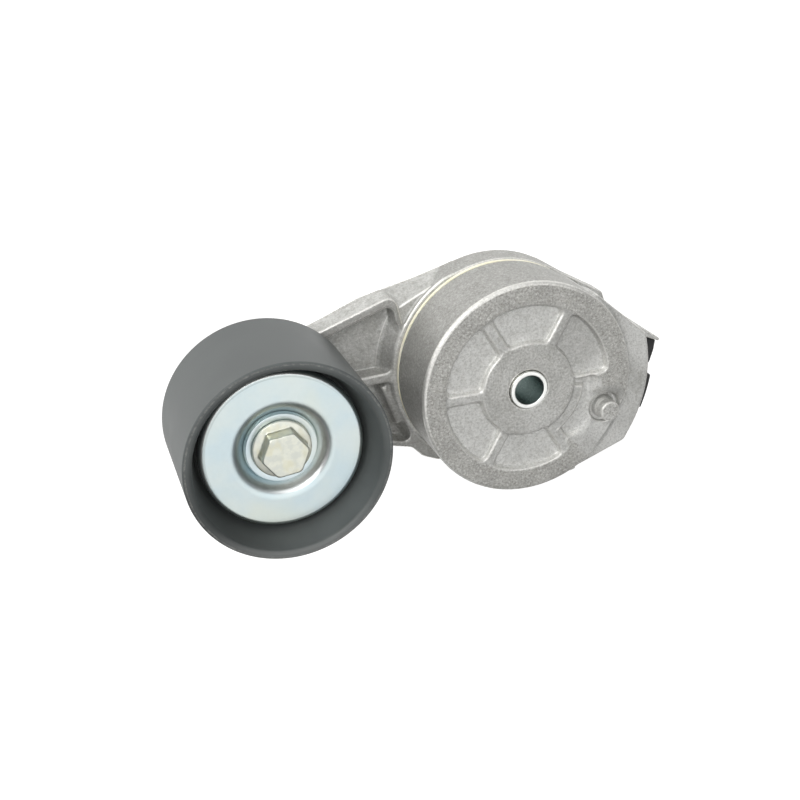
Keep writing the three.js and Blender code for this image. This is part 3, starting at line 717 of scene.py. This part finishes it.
def lowered_height(block):
    """Height of the front face beside the stub: crisp at the hub, ledge and spoke, soft towards the rim."""
    radius = block.radius
    ledge = np.maximum(radius - LEDGE, block.fan(-70, -8.3))
    crisp = overlap(-np.minimum(radius - HUB_EDGE, ledge), block.fan(-58, 2.5, 0.5), 0.8)
    mouth = block.plan([
        polar(18, 6), (31.5, 3.0), (30.5, -7.0), (34.0, -20.0), (48.0, -24.0),
        polar(60, -42), polar(46, -52), polar(30, -70), polar(18, -74),
    ])
    soft = union(mouth, block.circle(8.0, STUB), 3.0)
    fade = 0.5 + 7.0 * smooth(radius, 29.0, 37.0)
    return -LOW_DEPTH * smooth(-crisp / fade, 0.0, 2.0) * smooth(-soft, -3.5, 3.5)


def spoke_height(block):
    """Height of the spokes, which lie a little under the ground hub and the ground outer ring."""
    radius = block.radius
    outer = 35.7 - 5.0 * smooth(-block.fan(-60, 2), -1.0, 1.5)
    return -SPOKE_DROP * smooth(radius, HUB_EDGE - 0.4, HUB_EDGE) * (1 - smooth(radius - outer, -0.6, 0.8))


def lobe_plan(block):
    arc = [polar(FOOT_RADIUS, angle) for angle in range(-32, 11, 3)]
    return block.plan(filleted([
        polar(40, -71),
        polar(case_radius + 1.8, -71),
        (*polar(FOOT_RADIUS + 0.3, -37), 4.0),
        *arc,
        (*polar(FOOT_RADIUS, 13.2), 1.0),
        polar(case_radius + 1.7, 46),
        polar(40, 46),
        (0.0, 0.0),
    ]))


def ear_plans(block):
    upper = block.plan([
        polar(43.8, 50), polar(case_radius, 51.6), EAR_TIP, (66.6, 4.5), (46.7, 13.9), polar(43.8, 15),
    ])
    lower = block.plan([
        polar(43.8, -71), polar(49.0, -69), polar(55.0, -63.5), polar(55.6, -60.6), polar(43.8, -60),
    ])
    return upper, lower


def case_field(block):
    edge = FRONT_EDGE - (FRONT_EDGE - LOBE_EDGE) * smooth(block.x, 22.0, 34.0)
    cup = block.prism(block.circle(case_radius), case_back, 0.0, edge)
    lobe = block.prism(lobe_plan(block), lobe_back, FOOT_TOP, 0.6)
    upper, lower = ear_plans(block)
    ears = np.minimum(block.prism(upper, ear_back, lobe_back + 1, 0.35),
                      block.prism(lower, ear_back, lobe_back + 1, 0.8))
    slope = block.plan([
        polar(case_radius - 1, 50.5), polar(case_radius + 1.5, 46), (55.4, 12.9), (66.4, 5.9),
    ])
    flare = block.prism(slope, lobe_back - 2, FOOT_TOP - 3.0, 0.6, 0.10)
    whole = union(cup, union(union(lobe, flare, 1.0), ears, 1.0), 2.6)
    whole = cut(whole, block.prism(spoke_pockets(block), -POCKET_DEPTH, 4.0, 0.0, -0.30), 0.45)
    whole = np.maximum(whole, (block.z - spoke_height(block)) * 0.8)
    whole = np.maximum(whole, (block.z - lowered_height(block)) * 0.7)
    relief = np.maximum(block.circle(RELIEF_RADIUS, STUB), -block.circle(STUB_RADIUS - 0.2, STUB))
    whole = cut(whole, block.prism(relief, FOOT_TOP - 0.2, 6.0), 0.6)
    stub = block.prism(block.circle(STUB_RADIUS, STUB), FOOT_TOP - 2, STUB_TOP, 0.4, STUB_DRAFT)
    whole = union(whole, stub, 0.5)
    room = block.prism(block.circle(case_radius - CASE_WALL), case_back - 5, -FLOOR, 1.5)
    post = block.prism(block.circle(POST_RADIUS), POST_END, -FLOOR + 3, 0.4)
    whole = union(cut(whole, room, 0.8), post, 1.6)
    return cut(whole, block.circle(SLEEVE_HOLE) + 0 * block.z, 0.4)


def make_case():
    block = Block((-47.5, -50.5, -43.0), (69.0, 47.5, 6.0), CASE_STEP)
    add_cast("case_casting", block, case_field(block), ALUMINIUM, "root", "cast_aluminium", "spring_case")


make_case()

# ---------------- arm

ARM_STEP = 0.52
BOSS_RISE = 2.4
BUSH_GAP = 0.25
BOLT_HOLE = 6.15
arm_front = low("joint_ring").z - JOINT_GAP
arm_back = low("tensioner_arm").z
boss_face = low("rear_dust_shield").z + BOSS_RISE
HUB_RADIUS = 46.0
HUB_BACK_RADIUS = 46.5
HUB_LIP = 47.1
SHOULDER_FOOT = 52.4
POCKET_FLOOR = -41.6
CUP_FLOOR = -35.6
RECESS_FLOOR = -39.8
RECESS_RADIUS = 28.6
TUBE_RADIUS = 20.4
TUBE_FRONT = -9.0
FINGER_RADIUS = 65.0
FINGER_FRONT = -17.5
END_RADIUS = 14.7
END_SHOULDER = 16.3
WEDGE_TOP = -35.6


def arm_end(angle, radius=END_RADIUS):
    x, y = polar(radius, angle)
    return (pulley_centre[0] + x, y)


def finger_plan(block, clear=0.0):
    outline = filleted([
        polar(48, -23.4), (*polar(FINGER_RADIUS, -22.6), 1.5),
        (*polar(FINGER_RADIUS, -12.4), 1.5), polar(48, -11.8),
    ])
    return block.plan(outline) - clear


def arm_plans(block):
    """Plans of the arm's front, with its rim corner, and of its back, which runs on round the hub."""
    bottom = [(-41.0, -33.2, 4.0), (-36.5, -38.4, 5.0), (-29.5, -41.8), (-14.0, -42.8), (0.0, 0.0)]
    end = [arm_end(110, END_SHOULDER), arm_end(140), arm_end(254)]
    front = [(-43.5, 38.5, 5.0), (-78.0, 27.5), *end, *bottom, (-40.8, 24.0, 4.0)]
    back = [(-56.3, 35.6, 6.0), *end, *bottom, (-14.0, 44.4), (-32.0, 40.2, 16.0)]
    tip = block.circle(END_RADIUS, pulley_centre)
    return union(block.plan(filleted(front)), tip), union(block.plan(filleted(back)), tip)


def web_pockets(block):
    """The two lightening pockets, with a spine between them and a sloped hub wall beside them."""
    px = pulley_centre[0]
    outline = filleted([
        (-45.4, 33.0, 2.8), (-76.0, 23.2), (px + 1.0, 10.8), (px + 1.0, -9.6), (-42.0, -29.6, 3.0),
        (-36.0, 0.0), (-41.8, 20.8), (-44.6, 26.0),
    ])
    plan = np.maximum(block.plan(outline), -block.circle(16.5, pulley_centre))
    spine = block.plan([(-110.0, -1.2), (-40.0, -0.6), (-40.0, 4.5), (-110.0, 4.1)])
    plan = overlap(plan, -spine, 1.6)
    pockets = block.prism(plan, POCKET_FLOOR, -30.0, 0.0, -0.06)
    rise = (block.z - POCKET_FLOOR) / (arm_front - POCKET_FLOOR)
    wall = HUB_LIP + 0.2 + (SHOULDER_FOOT - HUB_LIP) * (1 - np.clip(rise, 0.0, 1.0))
    return overlap(pockets, (wall - block.radius) * 0.8, 2.5)


def arm_field(block):
    front_plan, back_plan = arm_plans(block)
    web = block.prism(front_plan, arm_back, arm_front - 0.4, 0.45, 0.03)
    corner = block.plan([(-60.0, 23.3), (-14.0, 44.4), (0.0, 30.0), (-60.0, 0.0)])
    wedge = lofted(block, back_plan, np.maximum(corner, back_plan), arm_back, WEDGE_TOP, 0.5)
    whole = union(web, wedge, 0.3)
    whole = cut(whole, web_pockets(block), 0.7)
    gusset = block.plan([(-53.2, -2.2), (-49.6, -1.6), (-43.4, -20.6), (-47.0, -21.6)])
    whole = union(whole, block.prism(gusset, -42.0, -35.2, 0.9, 0.10), 2.4)
    hub_plan = block.circle(HUB_BACK_RADIUS)
    hub_draft = (HUB_BACK_RADIUS - HUB_RADIUS) / (arm_front - arm_back)
    hub = block.prism(hub_plan, arm_back, arm_front, 0.5, hub_draft)
    toward = (block.y * 0.26 - block.x * 0.97) / np.maximum(block.radius, 1.0)
    lip_plan = block.circle(HUB_RADIUS) - (HUB_LIP - HUB_RADIUS) * smooth(toward, 0.53, 0.72)
    lip = block.prism(lip_plan, -40.0, arm_front, 0.3)
    whole = union(whole, union(hub, lip, 0.4), 0.8)

    lug_plan = block.plan(filleted([
        polar(43, 58.7), polar(43, -50), polar(46, -50), (*polar(FINGER_RADIUS, -22.6), 2.0),
        (*polar(FINGER_RADIUS, -12.4), 2.0), (57.5, 6.0, 8.0), (51.6, 19.6, 1.5), (50.7, 23.0, 1.5),
        polar(46, 58.7),
    ]))
    lug = block.prism(lug_plan, arm_back + 1.0, arm_front, 1.0)
    finger = block.prism(finger_plan(block), arm_front - 2.0, FINGER_FRONT, 1.0)
    whole = union(union(whole, lug, 1.6), finger, 2.0)

    boss = block.prism(block.circle(11.2, pulley_centre), arm_back + 0.5, boss_face, 0.6, 0.05)
    collar = block.prism(block.circle(13.4, pulley_centre), arm_back + 0.5, -31.5, 0.6)
    whole = union(union(whole, collar, 2.0), boss, 3.0)

    tube = block.prism(block.circle(TUBE_RADIUS), CUP_FLOOR - 1, TUBE_FRONT, 0.5)
    cup_plan = np.maximum(block.circle(case_radius - CASE_WALL), -block.circle(TUBE_RADIUS))
    whole = union(cut(whole, block.prism(cup_plan, CUP_FLOOR, -30.0), 0.8), tube, 0.8)
    whole = cut(whole, block.prism(block.circle(RECESS_RADIUS), arm_back - 4.0, RECESS_FLOOR), 0.6)
    whole = cut(whole, block.circle(high("pivot_bushing").x + BUSH_GAP) + 0 * block.z, 0.5)
    whole = cut(whole, block.circle(BOLT_HOLE, pulley_centre) + 0 * block.z, 0.8)
    return np.maximum(whole, arm_back - block.z)


def make_arm():
    block = Block((-122.0, -48.5, -47.5), (67.5, 48.5, -7.0), ARM_STEP)
    add_cast("arm_casting", block, arm_field(block), ALUMINIUM, "arm", "cast_aluminium", "tensioner_arm")


make_arm()

# ---------------- rubber stops

RUBBER_STEP = 0.4
PAD_GAP = 0.35
CAP_GAP = 0.25
GROOVES = (0.3, 0.7)
GROOVE_DEPTH = 0.7


def moulded(block, field, bottom, top):
    """A rubber block with rounded grooves moulded around it."""
    for share in GROOVES:
        level = bottom + (top - bottom) * share
        field = field + GROOVE_DEPTH * (1 - smooth(np.abs(block.z - level), 0.2, 1.1))
    return field


def make_stops():
    bottom, top = heights("upper_stop_pad")
    block = Block((44.0, -12.0, bottom - 1), (69.0, 18.0, top + 1), RUBBER_STEP)
    outline = [
        (49.2, 15.4), (49.2, -8.4), (53.0, -9.9, 1.5), (57.5, -9.9, 3.0), (64.1, -6.2, 3.0),
        (66.1, -0.6), (66.9, 3.8),
    ]
    pad = np.maximum(block.plan(filleted(outline)), PAD_GAP - ear_plans(block)[0])
    pad = moulded(block, block.prism(pad, bottom, top, 1.2), bottom, top)
    add_cast("upper_pad_rubber", block, pad, RUBBER, "root", "black_rubber", "upper_stop_pad")

    block = Block((20.0, -53.0, bottom - 1), (36.0, -36.0, top + 1), RUBBER_STEP)
    pad = np.maximum(block.sector(47.2, 56.0, -60.2, -55.0), PAD_GAP - ear_plans(block)[1])
    pad = moulded(block, block.prism(pad, bottom, top, 1.0), bottom, top)
    add_cast("lower_pad_rubber", block, pad, RUBBER, "root", "black_rubber", "lower_stop_pad")

    bottom, top = heights("finger_buffer")
    block = Block((45.0, -32.0, bottom - 1), (68.5, -7.0, top + 1), RUBBER_STEP)
    cap = block.prism(block.sector(53.0, FINGER_RADIUS + 1.6, -24.4, -10.8), bottom, top, 1.2)
    cap = moulded(block, cap, bottom, top)
    room = block.prism(finger_plan(block, CAP_GAP), bottom - 5, FINGER_FRONT + CAP_GAP)
    cap = np.maximum(cap, -room)
    add_cast("finger_cap_rubber", block, cap, RUBBER, "arm", "black_rubber", "finger_buffer")


make_stops()

# ---------------- pivot pieces

sleeve_back = low("pivot_sleeve").z
add_spun("pivot_sleeve_turned", [
    (6.2, 1.0, 0.45), (8.15, 1.0, 0.4), (8.15, sleeve_back + 1.4, 0.6), (10.35, sleeve_back + 0.8, 0.3),
    (10.35, sleeve_back, 0.3), (6.2, sleeve_back, 0.5),
], SLEEVE_STEEL, "root", "sleeve_steel", "pivot_sleeve")

plate_back, plate_front = heights("end_plate")
add_spun("end_plate_pressed", [
    (8.4, plate_front, 0.2), (26.2, plate_front, 1.0), (27.5, plate_front - 0.9, 0.5),
    (27.5, plate_back, 0.5), (8.4, plate_back, 0.4),
], BLUE_ZINC, "root", "blue_zinc", "end_plate")

bush_outside = high("pivot_bushing").x
add_ring("joint_ring_turned", 42.2, high("joint_ring").x, 0.3, RING_BRASS, "root", "joint_ring",
         "joint_ring", segments=192)
add_ring("pivot_bushing_moulded", 13.75, bush_outside, 0.3, NYLON, "arm", "pale_nylon", "pivot_bushing",
         inner_edge=0.4)
add_ring("thrust_washer_moulded", bush_outside + 0.5, 27.0, 0.3, FRICTION, "arm", "friction_polymer",
         "thrust_washer")
add_ring("damping_band_split", 38.55, 41.5, 0.5, FRICTION, "root", "friction_polymer", "damping_band",
         arc=(20.0, 340.0))

# ---------------- torsion spring

WIRE = 2.9
COIL = 31.5
TURNS = 3.5
PITCH = 6.3
WIRE_SIDES = 20
STEPS_PER_TURN = 72
# The rounded end of the wire: how far each section lies past it in mm, and its share of the wire's radius.
WIRE_END = [(0.35, 0.9), (0.9, 0.55)]


def make_spring():
    """A round wire coiled downwards."""
    start = high("torsion_spring").z - WIRE
    steps = int(TURNS * STEPS_PER_TURN)
    tilt = math.atan2(PITCH, 2 * math.pi * COIL)
    sections = [(-ahead, size) for ahead, size in reversed(WIRE_END)] + [(0.0, 1.0)] * (steps + 1) + WIRE_END
    vertices = []
    for i, (ahead, size) in enumerate(sections):
        step = min(max(i - len(WIRE_END), 0), steps)
        angle = 2 * math.pi * step / STEPS_PER_TURN + ahead / COIL
        drop = PITCH * angle / (2 * math.pi)
        outward = Vector((math.cos(angle), math.sin(angle), 0.0))
        along = Vector((-math.sin(angle), math.cos(angle), -math.tan(tilt))).normalized()
        upward = outward.cross(along)
        middle = outward * COIL + Vector((0, 0, start - drop))
        for side in range(WIRE_SIDES):
            turn = 2 * math.pi * side / WIRE_SIDES
            spot = middle + (outward * math.cos(turn) + upward * math.sin(turn)) * (WIRE * size)
            vertices.append(tuple(spot * MM))
    faces = []
    last = (len(sections) - 1) * WIRE_SIDES
    for here in range(0, last, WIRE_SIDES):
        there = here + WIRE_SIDES
        for side in range(WIRE_SIDES):
            after = (side + 1) % WIRE_SIDES
            faces.append((here + side, here + after, there + after, there + side))
    faces.append(tuple(reversed(range(WIRE_SIDES))))
    faces.append(tuple(range(last, last + WIRE_SIDES)))
    mesh = mesh_from("torsion_spring_coil", vertices, faces)
    mesh.materials.append(SPRING_STEEL)
    spring = add_object("torsion_spring_coil", mesh)
    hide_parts("torsion_spring")
    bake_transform(spring)


make_spring()

# ---------------- pulley

WEB = 32.5
HUB_INSIDE = 20.3
HUB_OUTSIDE = 24.3

add_spun("pulley_barrel", [
    (BARREL, PULLEY_BACK, 0.4), (BARREL, PULLEY_FRONT, 0.8), (BARREL - LIP, PULLEY_FRONT, 2.1),
    (WEB + 1.4, 6.2, 2.0), (WEB, 1.4, 2.0), (HUB_OUTSIDE, 0.0, 2.0), (HUB_OUTSIDE, 6.4, 0.6),
    (HUB_INSIDE, 6.4, 0.5), (HUB_INSIDE, -13.2, 0.4), (HUB_OUTSIDE, -13.2, 0.6), (HUB_OUTSIDE, -9.0, 1.5),
    (WEB, -10.5, 2.0), (BARREL - LIP, PULLEY_BACK, 0.5),
], COATING, "pulley", "pulley_coating", "pulley_shell", centre=pulley_centre, segments=256)

# ---------------- bearing

BEARING_BACK, BEARING_FRONT = heights("bearing_outer_ring")
BEARING_MIDDLE = (BEARING_BACK + BEARING_FRONT) / 2
ROWS = (BEARING_MIDDLE - 4.2, BEARING_MIDDLE + 4.2)
PITCH_RADIUS = 14.5
BALL = 3.1
BALLS = 8
BALL_SEGMENTS = 40
BALL_RINGS = 20
RACE_GAP = 0.2
RACE_STEPS = 10
RACE_END = 0.02
CAGE_STEP = 0.32
CAGE_GAP = 0.45
INNER_FACE = 12.2
OUTER_FACE = 16.9
BORE = 8.6
OUTSIDE = 19.95


def race(row, face, outward):
    """The groove one row of balls runs in, from its back edge to its front edge."""
    radius = BALL + RACE_GAP
    half = math.acos(abs(face - PITCH_RADIUS) / radius)
    angles = [-half + 2 * half * i / RACE_STEPS for i in range(RACE_STEPS + 1)]
    return [(PITCH_RADIUS + outward * radius * math.cos(a), row + radius * math.sin(a)) for a in angles]


def make_bearing():
    back, front = BEARING_BACK + RACE_END, BEARING_FRONT - RACE_END
    inner = [(BORE, back, 0.5), (INNER_FACE, back, 0.2)]
    outer = [(OUTSIDE, back, 0.6), (OUTER_FACE, back, 0.2)]
    for row in ROWS:
        inner += race(row, INNER_FACE, -1)
        outer += race(row, OUTER_FACE, 1)
    inner += [(INNER_FACE, front, 0.2), (BORE, front, 0.5)]
    outer += [(OUTER_FACE, front, 0.2), (OUTSIDE, front, 0.6)]
    add_spun("bearing_inner_race", inner, BEARING_STEEL, "arm", "bearing_steel", "bearing_inner_ring",
             centre=pulley_centre)
    add_spun("bearing_outer_race", outer, BEARING_STEEL, "pulley", "bearing_steel", "bearing_outer_ring",
             centre=pulley_centre)
    add_spun("bearing_sleeve_turned", [
        (BOLT_HOLE, back, 0.3), (8.3, back, 0.3), (8.3, front, 0.3), (BOLT_HOLE, front, 0.3),
    ], SLEEVE_STEEL, "arm", "sleeve_steel", "bearing_sleeve", centre=pulley_centre)
    add_ring("retaining_ring_split", 17.85, 20.0, 0.25, SPRING_STEEL, "pulley", "spring_steel",
             "bearing_retaining_ring", centre=pulley_centre, arc=(12.0, 348.0))
    for node in ("front_bearing_seal", "rear_bearing_seal"):
        bottom, top = heights(node)
        middle = (bottom + top) / 2
        lower = [
            (12.5, middle - 0.3, 0.2), (13.4, bottom + 0.1, 0.3), (14.6, bottom + 0.3, 0.4),
            (15.8, bottom, 0.3), (16.6, middle - 0.3, 0.2),
        ]
        upper = [(radius, bottom + top - z, edge) for radius, z, edge in reversed(lower)]
        add_spun(node.replace("bearing_", "lip_"), lower + upper, RUBBER, "pulley", "black_rubber", node,
                 centre=pulley_centre)


def ball_places():
    for row, (side, z) in enumerate(zip(("rear", "front"), ROWS)):
        for i in range(BALLS):
            x, y = polar(PITCH_RADIUS, 360 / BALLS * (i + row / 2))
            yield f"{side}_ball_{i + 1}", (pulley_centre[0] + x, y, z)


def make_balls():
    for node, place in ball_places():
        sphere = bmesh.new()
        bmesh.ops.create_uvsphere(sphere, u_segments=BALL_SEGMENTS, v_segments=BALL_RINGS, radius=BALL * MM,
                                  matrix=Matrix.Translation(Vector(place) * MM))
        mesh = bpy.data.meshes.new(node + "_ground")
        sphere.to_mesh(mesh)
        sphere.free()
        mesh.shade_smooth()
        add_piece(node + "_ground", mesh, BEARING_STEEL, "ball_cage", "bearing_steel", node)


def make_cage():
    px = pulley_centre[0]
    bottom, top = heights("bearing_cage")
    block = Block((px - 17, -17, bottom - 1), (px + 17, 17, top + 1), CAGE_STEP)
    band = np.maximum(block.circle(15.7, pulley_centre), -block.circle(13.3, pulley_centre))
    cage = block.prism(band, bottom, top, 0.4)
    for _, (x, y, z) in ball_places():
        away = Vector((x - px, y, 0.0)).normalized()
        across = (block.y - y) * away.x - (block.x - x) * away.y
        pocket = np.hypot(across, block.z - z) - (BALL + CAGE_GAP)
        behind = -((block.x - px) * away.x + block.y * away.y)
        cage = cut(cage, np.maximum(pocket, behind), 0.4)
    add_cast("bearing_cage_moulded", block, cage, NYLON, "ball_cage", "pale_nylon", "bearing_cage")


make_bearing()
make_balls()
make_cage()

# ---------------- shields, washer and bolt

shield_back = low("front_dust_shield").z
SHEET = 1.1
SHIELD_RISE = 4.6
SHIELD_HOLE = 6.5
FLAT = shield_back + SHIELD_RISE
SHIELD = high("front_dust_shield").x - pulley_centre[0]

add_spun("front_shield_pressed", [
    (SHIELD_HOLE, shield_back), (15.0, shield_back, 1.0), (19.0, FLAT, 3.5), (SHIELD - SHEET, FLAT, 0.9),
    (SHIELD - SHEET, shield_back + 1.0, 0.2), (SHIELD, shield_back + 1.0, 0.2),
    (SHIELD, FLAT + SHEET, 1.7), (18.4, FLAT + SHEET, 4.6), (14.4, shield_back + SHEET, 0.7),
    (SHIELD_HOLE, shield_back + SHEET),
], SHIELD_ZINC, "arm", "blue_zinc", "front_dust_shield", centre=pulley_centre, segments=256)

rear_top = high("rear_dust_shield").z
rear_flat = rear_top - 2.5
add_spun("rear_shield_pressed", [
    (SHIELD_HOLE, rear_top), (14.0, rear_top, 1.5), (17.0, rear_flat, 1.5), (29.5, rear_flat, 0.3),
    (29.5, rear_flat - SHEET, 0.4), (16.5, rear_flat - SHEET, 1.0), (13.4, rear_top - SHEET, 1.5),
    (SHIELD_HOLE, rear_top - SHEET),
], BLUE_ZINC, "arm", "blue_zinc", "rear_dust_shield", centre=pulley_centre)

washer_back, washer_front = heights("bolt_washer")
add_spun("bolt_washer_turned", [
    (SHIELD_HOLE, washer_back), (14.0, washer_back, 0.4), (14.0, washer_front, 0.25),
    (SHIELD_HOLE, washer_front),
], BLUE_ZINC, "arm", "blue_zinc", "bolt_washer", centre=pulley_centre)

BOLT_STEP = 0.3
HEX_FLAT = 8.2
HEX_TURN = 5.0
HEX_CHAMFER = 40.0
FLANGE_SLOPE = 0.17
FLANGE = 11.65
FLANGE_THICK = 1.2
SHANK = 5.85
CHAMFER_RADIUS = 8.85
SEAT_GAP = 0.125


def make_bolt():
    """A hexagon on a flange that slopes up to it, with a chamfered top, and a shank with a coned end."""
    px = pulley_centre[0]
    bottom, top = heights("pulley_bolt")
    seat = washer_front + SEAT_GAP
    block = Block((px - 12.5, -12.5, bottom - 1), (px + 12.5, 12.5, top + 1), BOLT_STEP)
    radius = np.hypot(block.x - px, block.y)
    hexagon = None
    for i in range(3):
        away = polar(1.0, HEX_TURN + 30 + 60 * i)
        flat = np.abs((block.x - px) * away[0] + block.y * away[1]) - HEX_FLAT
        hexagon = flat if hexagon is None else overlap(hexagon, flat, 0.5)
    head = block.prism(hexagon, seat, top, 0.2)
    chamfer = ((block.z - top) + (radius - CHAMFER_RADIUS) * math.tan(math.radians(HEX_CHAMFER))) * 0.77
    head = overlap(head, chamfer, 0.25)
    slope = ((block.z - seat - FLANGE_THICK) + (radius - FLANGE) * FLANGE_SLOPE) * 0.98
    flange = overlap(block.prism(radius - FLANGE, seat, seat + 3, 0.2), slope, 0.4)
    shank = block.prism(radius - SHANK, bottom, seat + 2)
    shank = np.maximum(shank, (radius - SHANK - (block.z - bottom - 1)) * 0.7)
    bolt = union(union(head, flange, 0.5), shank, 0.3)
    add_cast("pulley_bolt_forged", block, bolt, BOLT_ZINC, "arm", "bolt_zinc", "pulley_bolt")


make_bolt()

# ---------------- stage

FLOOR_HALF = 20.0
FLOOR_GAP = 0.0005
FLOOR_GLOW = 0.86


def make_floor():
    z = CAD_BOX[0].z - FLOOR_GAP
    vertices = [(x * FLOOR_HALF, y * FLOOR_HALF, z) for x, y in ((-1, -1), (1, -1), (1, 1), (-1, 1))]
    mesh = mesh_from("floor", vertices, [(0, 1, 2, 3)])
    look = Finish("floor_white", 0.9)
    look.fill(look.shader, {"Emission Color": (1.0, 1.0, 0.995), "Emission Strength": FLOOR_GLOW})
    tone = look.noise(0.01, 2.0, 0.5)
    mesh.materials.append(look.finish(look.mix(tone, (0.38, 0.38, 0.38), (0.40, 0.40, 0.39))))
    floor = add_object("floor", mesh)


LIGHT_TARGET = (-0.04, 0.0, -0.02)


def make_light(name, place, target, size, power):
    data = bpy.data.lights.new(name, "AREA")
    data.shape = "DISK"
    data.size = size
    data.energy = power
    light = add_object(name, data)
    away = (Vector(place) - Vector(target)).normalized()
    light.matrix_world = Matrix.Translation(place) @ away.to_track_quat("Z", "Y").to_matrix().to_4x4()


SKY_HEIGHT = ((0.0, 0.95), (0.09, 0.90), (0.17, 0.34), (0.55, 0.36), (1.0, 0.62))
SKY_SIDE = ((0.0, 0.30), (0.35, 0.42), (0.65, 0.68), (1.0, 0.75))


def ramp_over(sky, value, table):
    """Grey levels that change along a value from 0 to 1."""
    ramp = sky.node("ShaderNodeValToRGB", {0: value})
    stops = ramp.color_ramp.elements
    while len(stops) < len(table):
        stops.new(0.5)
    for stop, (position, level) in zip(stops, table):
        stop.position = position
        stop.color = (level, level, level, 1.0)
    return ramp.outputs[0]


def make_sky():
    """A white studio: pale at the horizon, darker above it, and brighter overhead and on the +Y side."""
    world = bpy.data.worlds.new("studio")
    world.use_nodes = True
    sky = Nodes(world.node_tree)
    direction = sky.node("ShaderNodeTexCoord", {}).outputs["Generated"]
    parts = sky.node("ShaderNodeSeparateXYZ", {0: direction}).outputs
    side = sky.math("ADD", sky.math("MULTIPLY", parts["Y"], 0.5), 0.5)
    level = sky.vector("MULTIPLY", ramp_over(sky, parts["Z"], SKY_HEIGHT), ramp_over(sky, side, SKY_SIDE))
    sky.fill(world.node_tree.nodes["Background"], {"Color": level, "Strength": 1.0})
    bpy.context.scene.world = world


make_floor()
make_sky()
make_light("key", (-0.76, 0.62, 0.45), LIGHT_TARGET, 0.8, 5.3)
make_light("top", (0.1, 0.80, 0.62), LIGHT_TARGET, 0.7, 1.2)
make_light("high", (-0.42, 0.62, 0.95), LIGHT_TARGET, 0.35, 2.4)
make_light("front", (0.05, -0.12, 1.05), (0.0, 0.0, -0.02), 1.4, 5.3)
bpy.context.scene.view_settings.view_transform = "Standard"
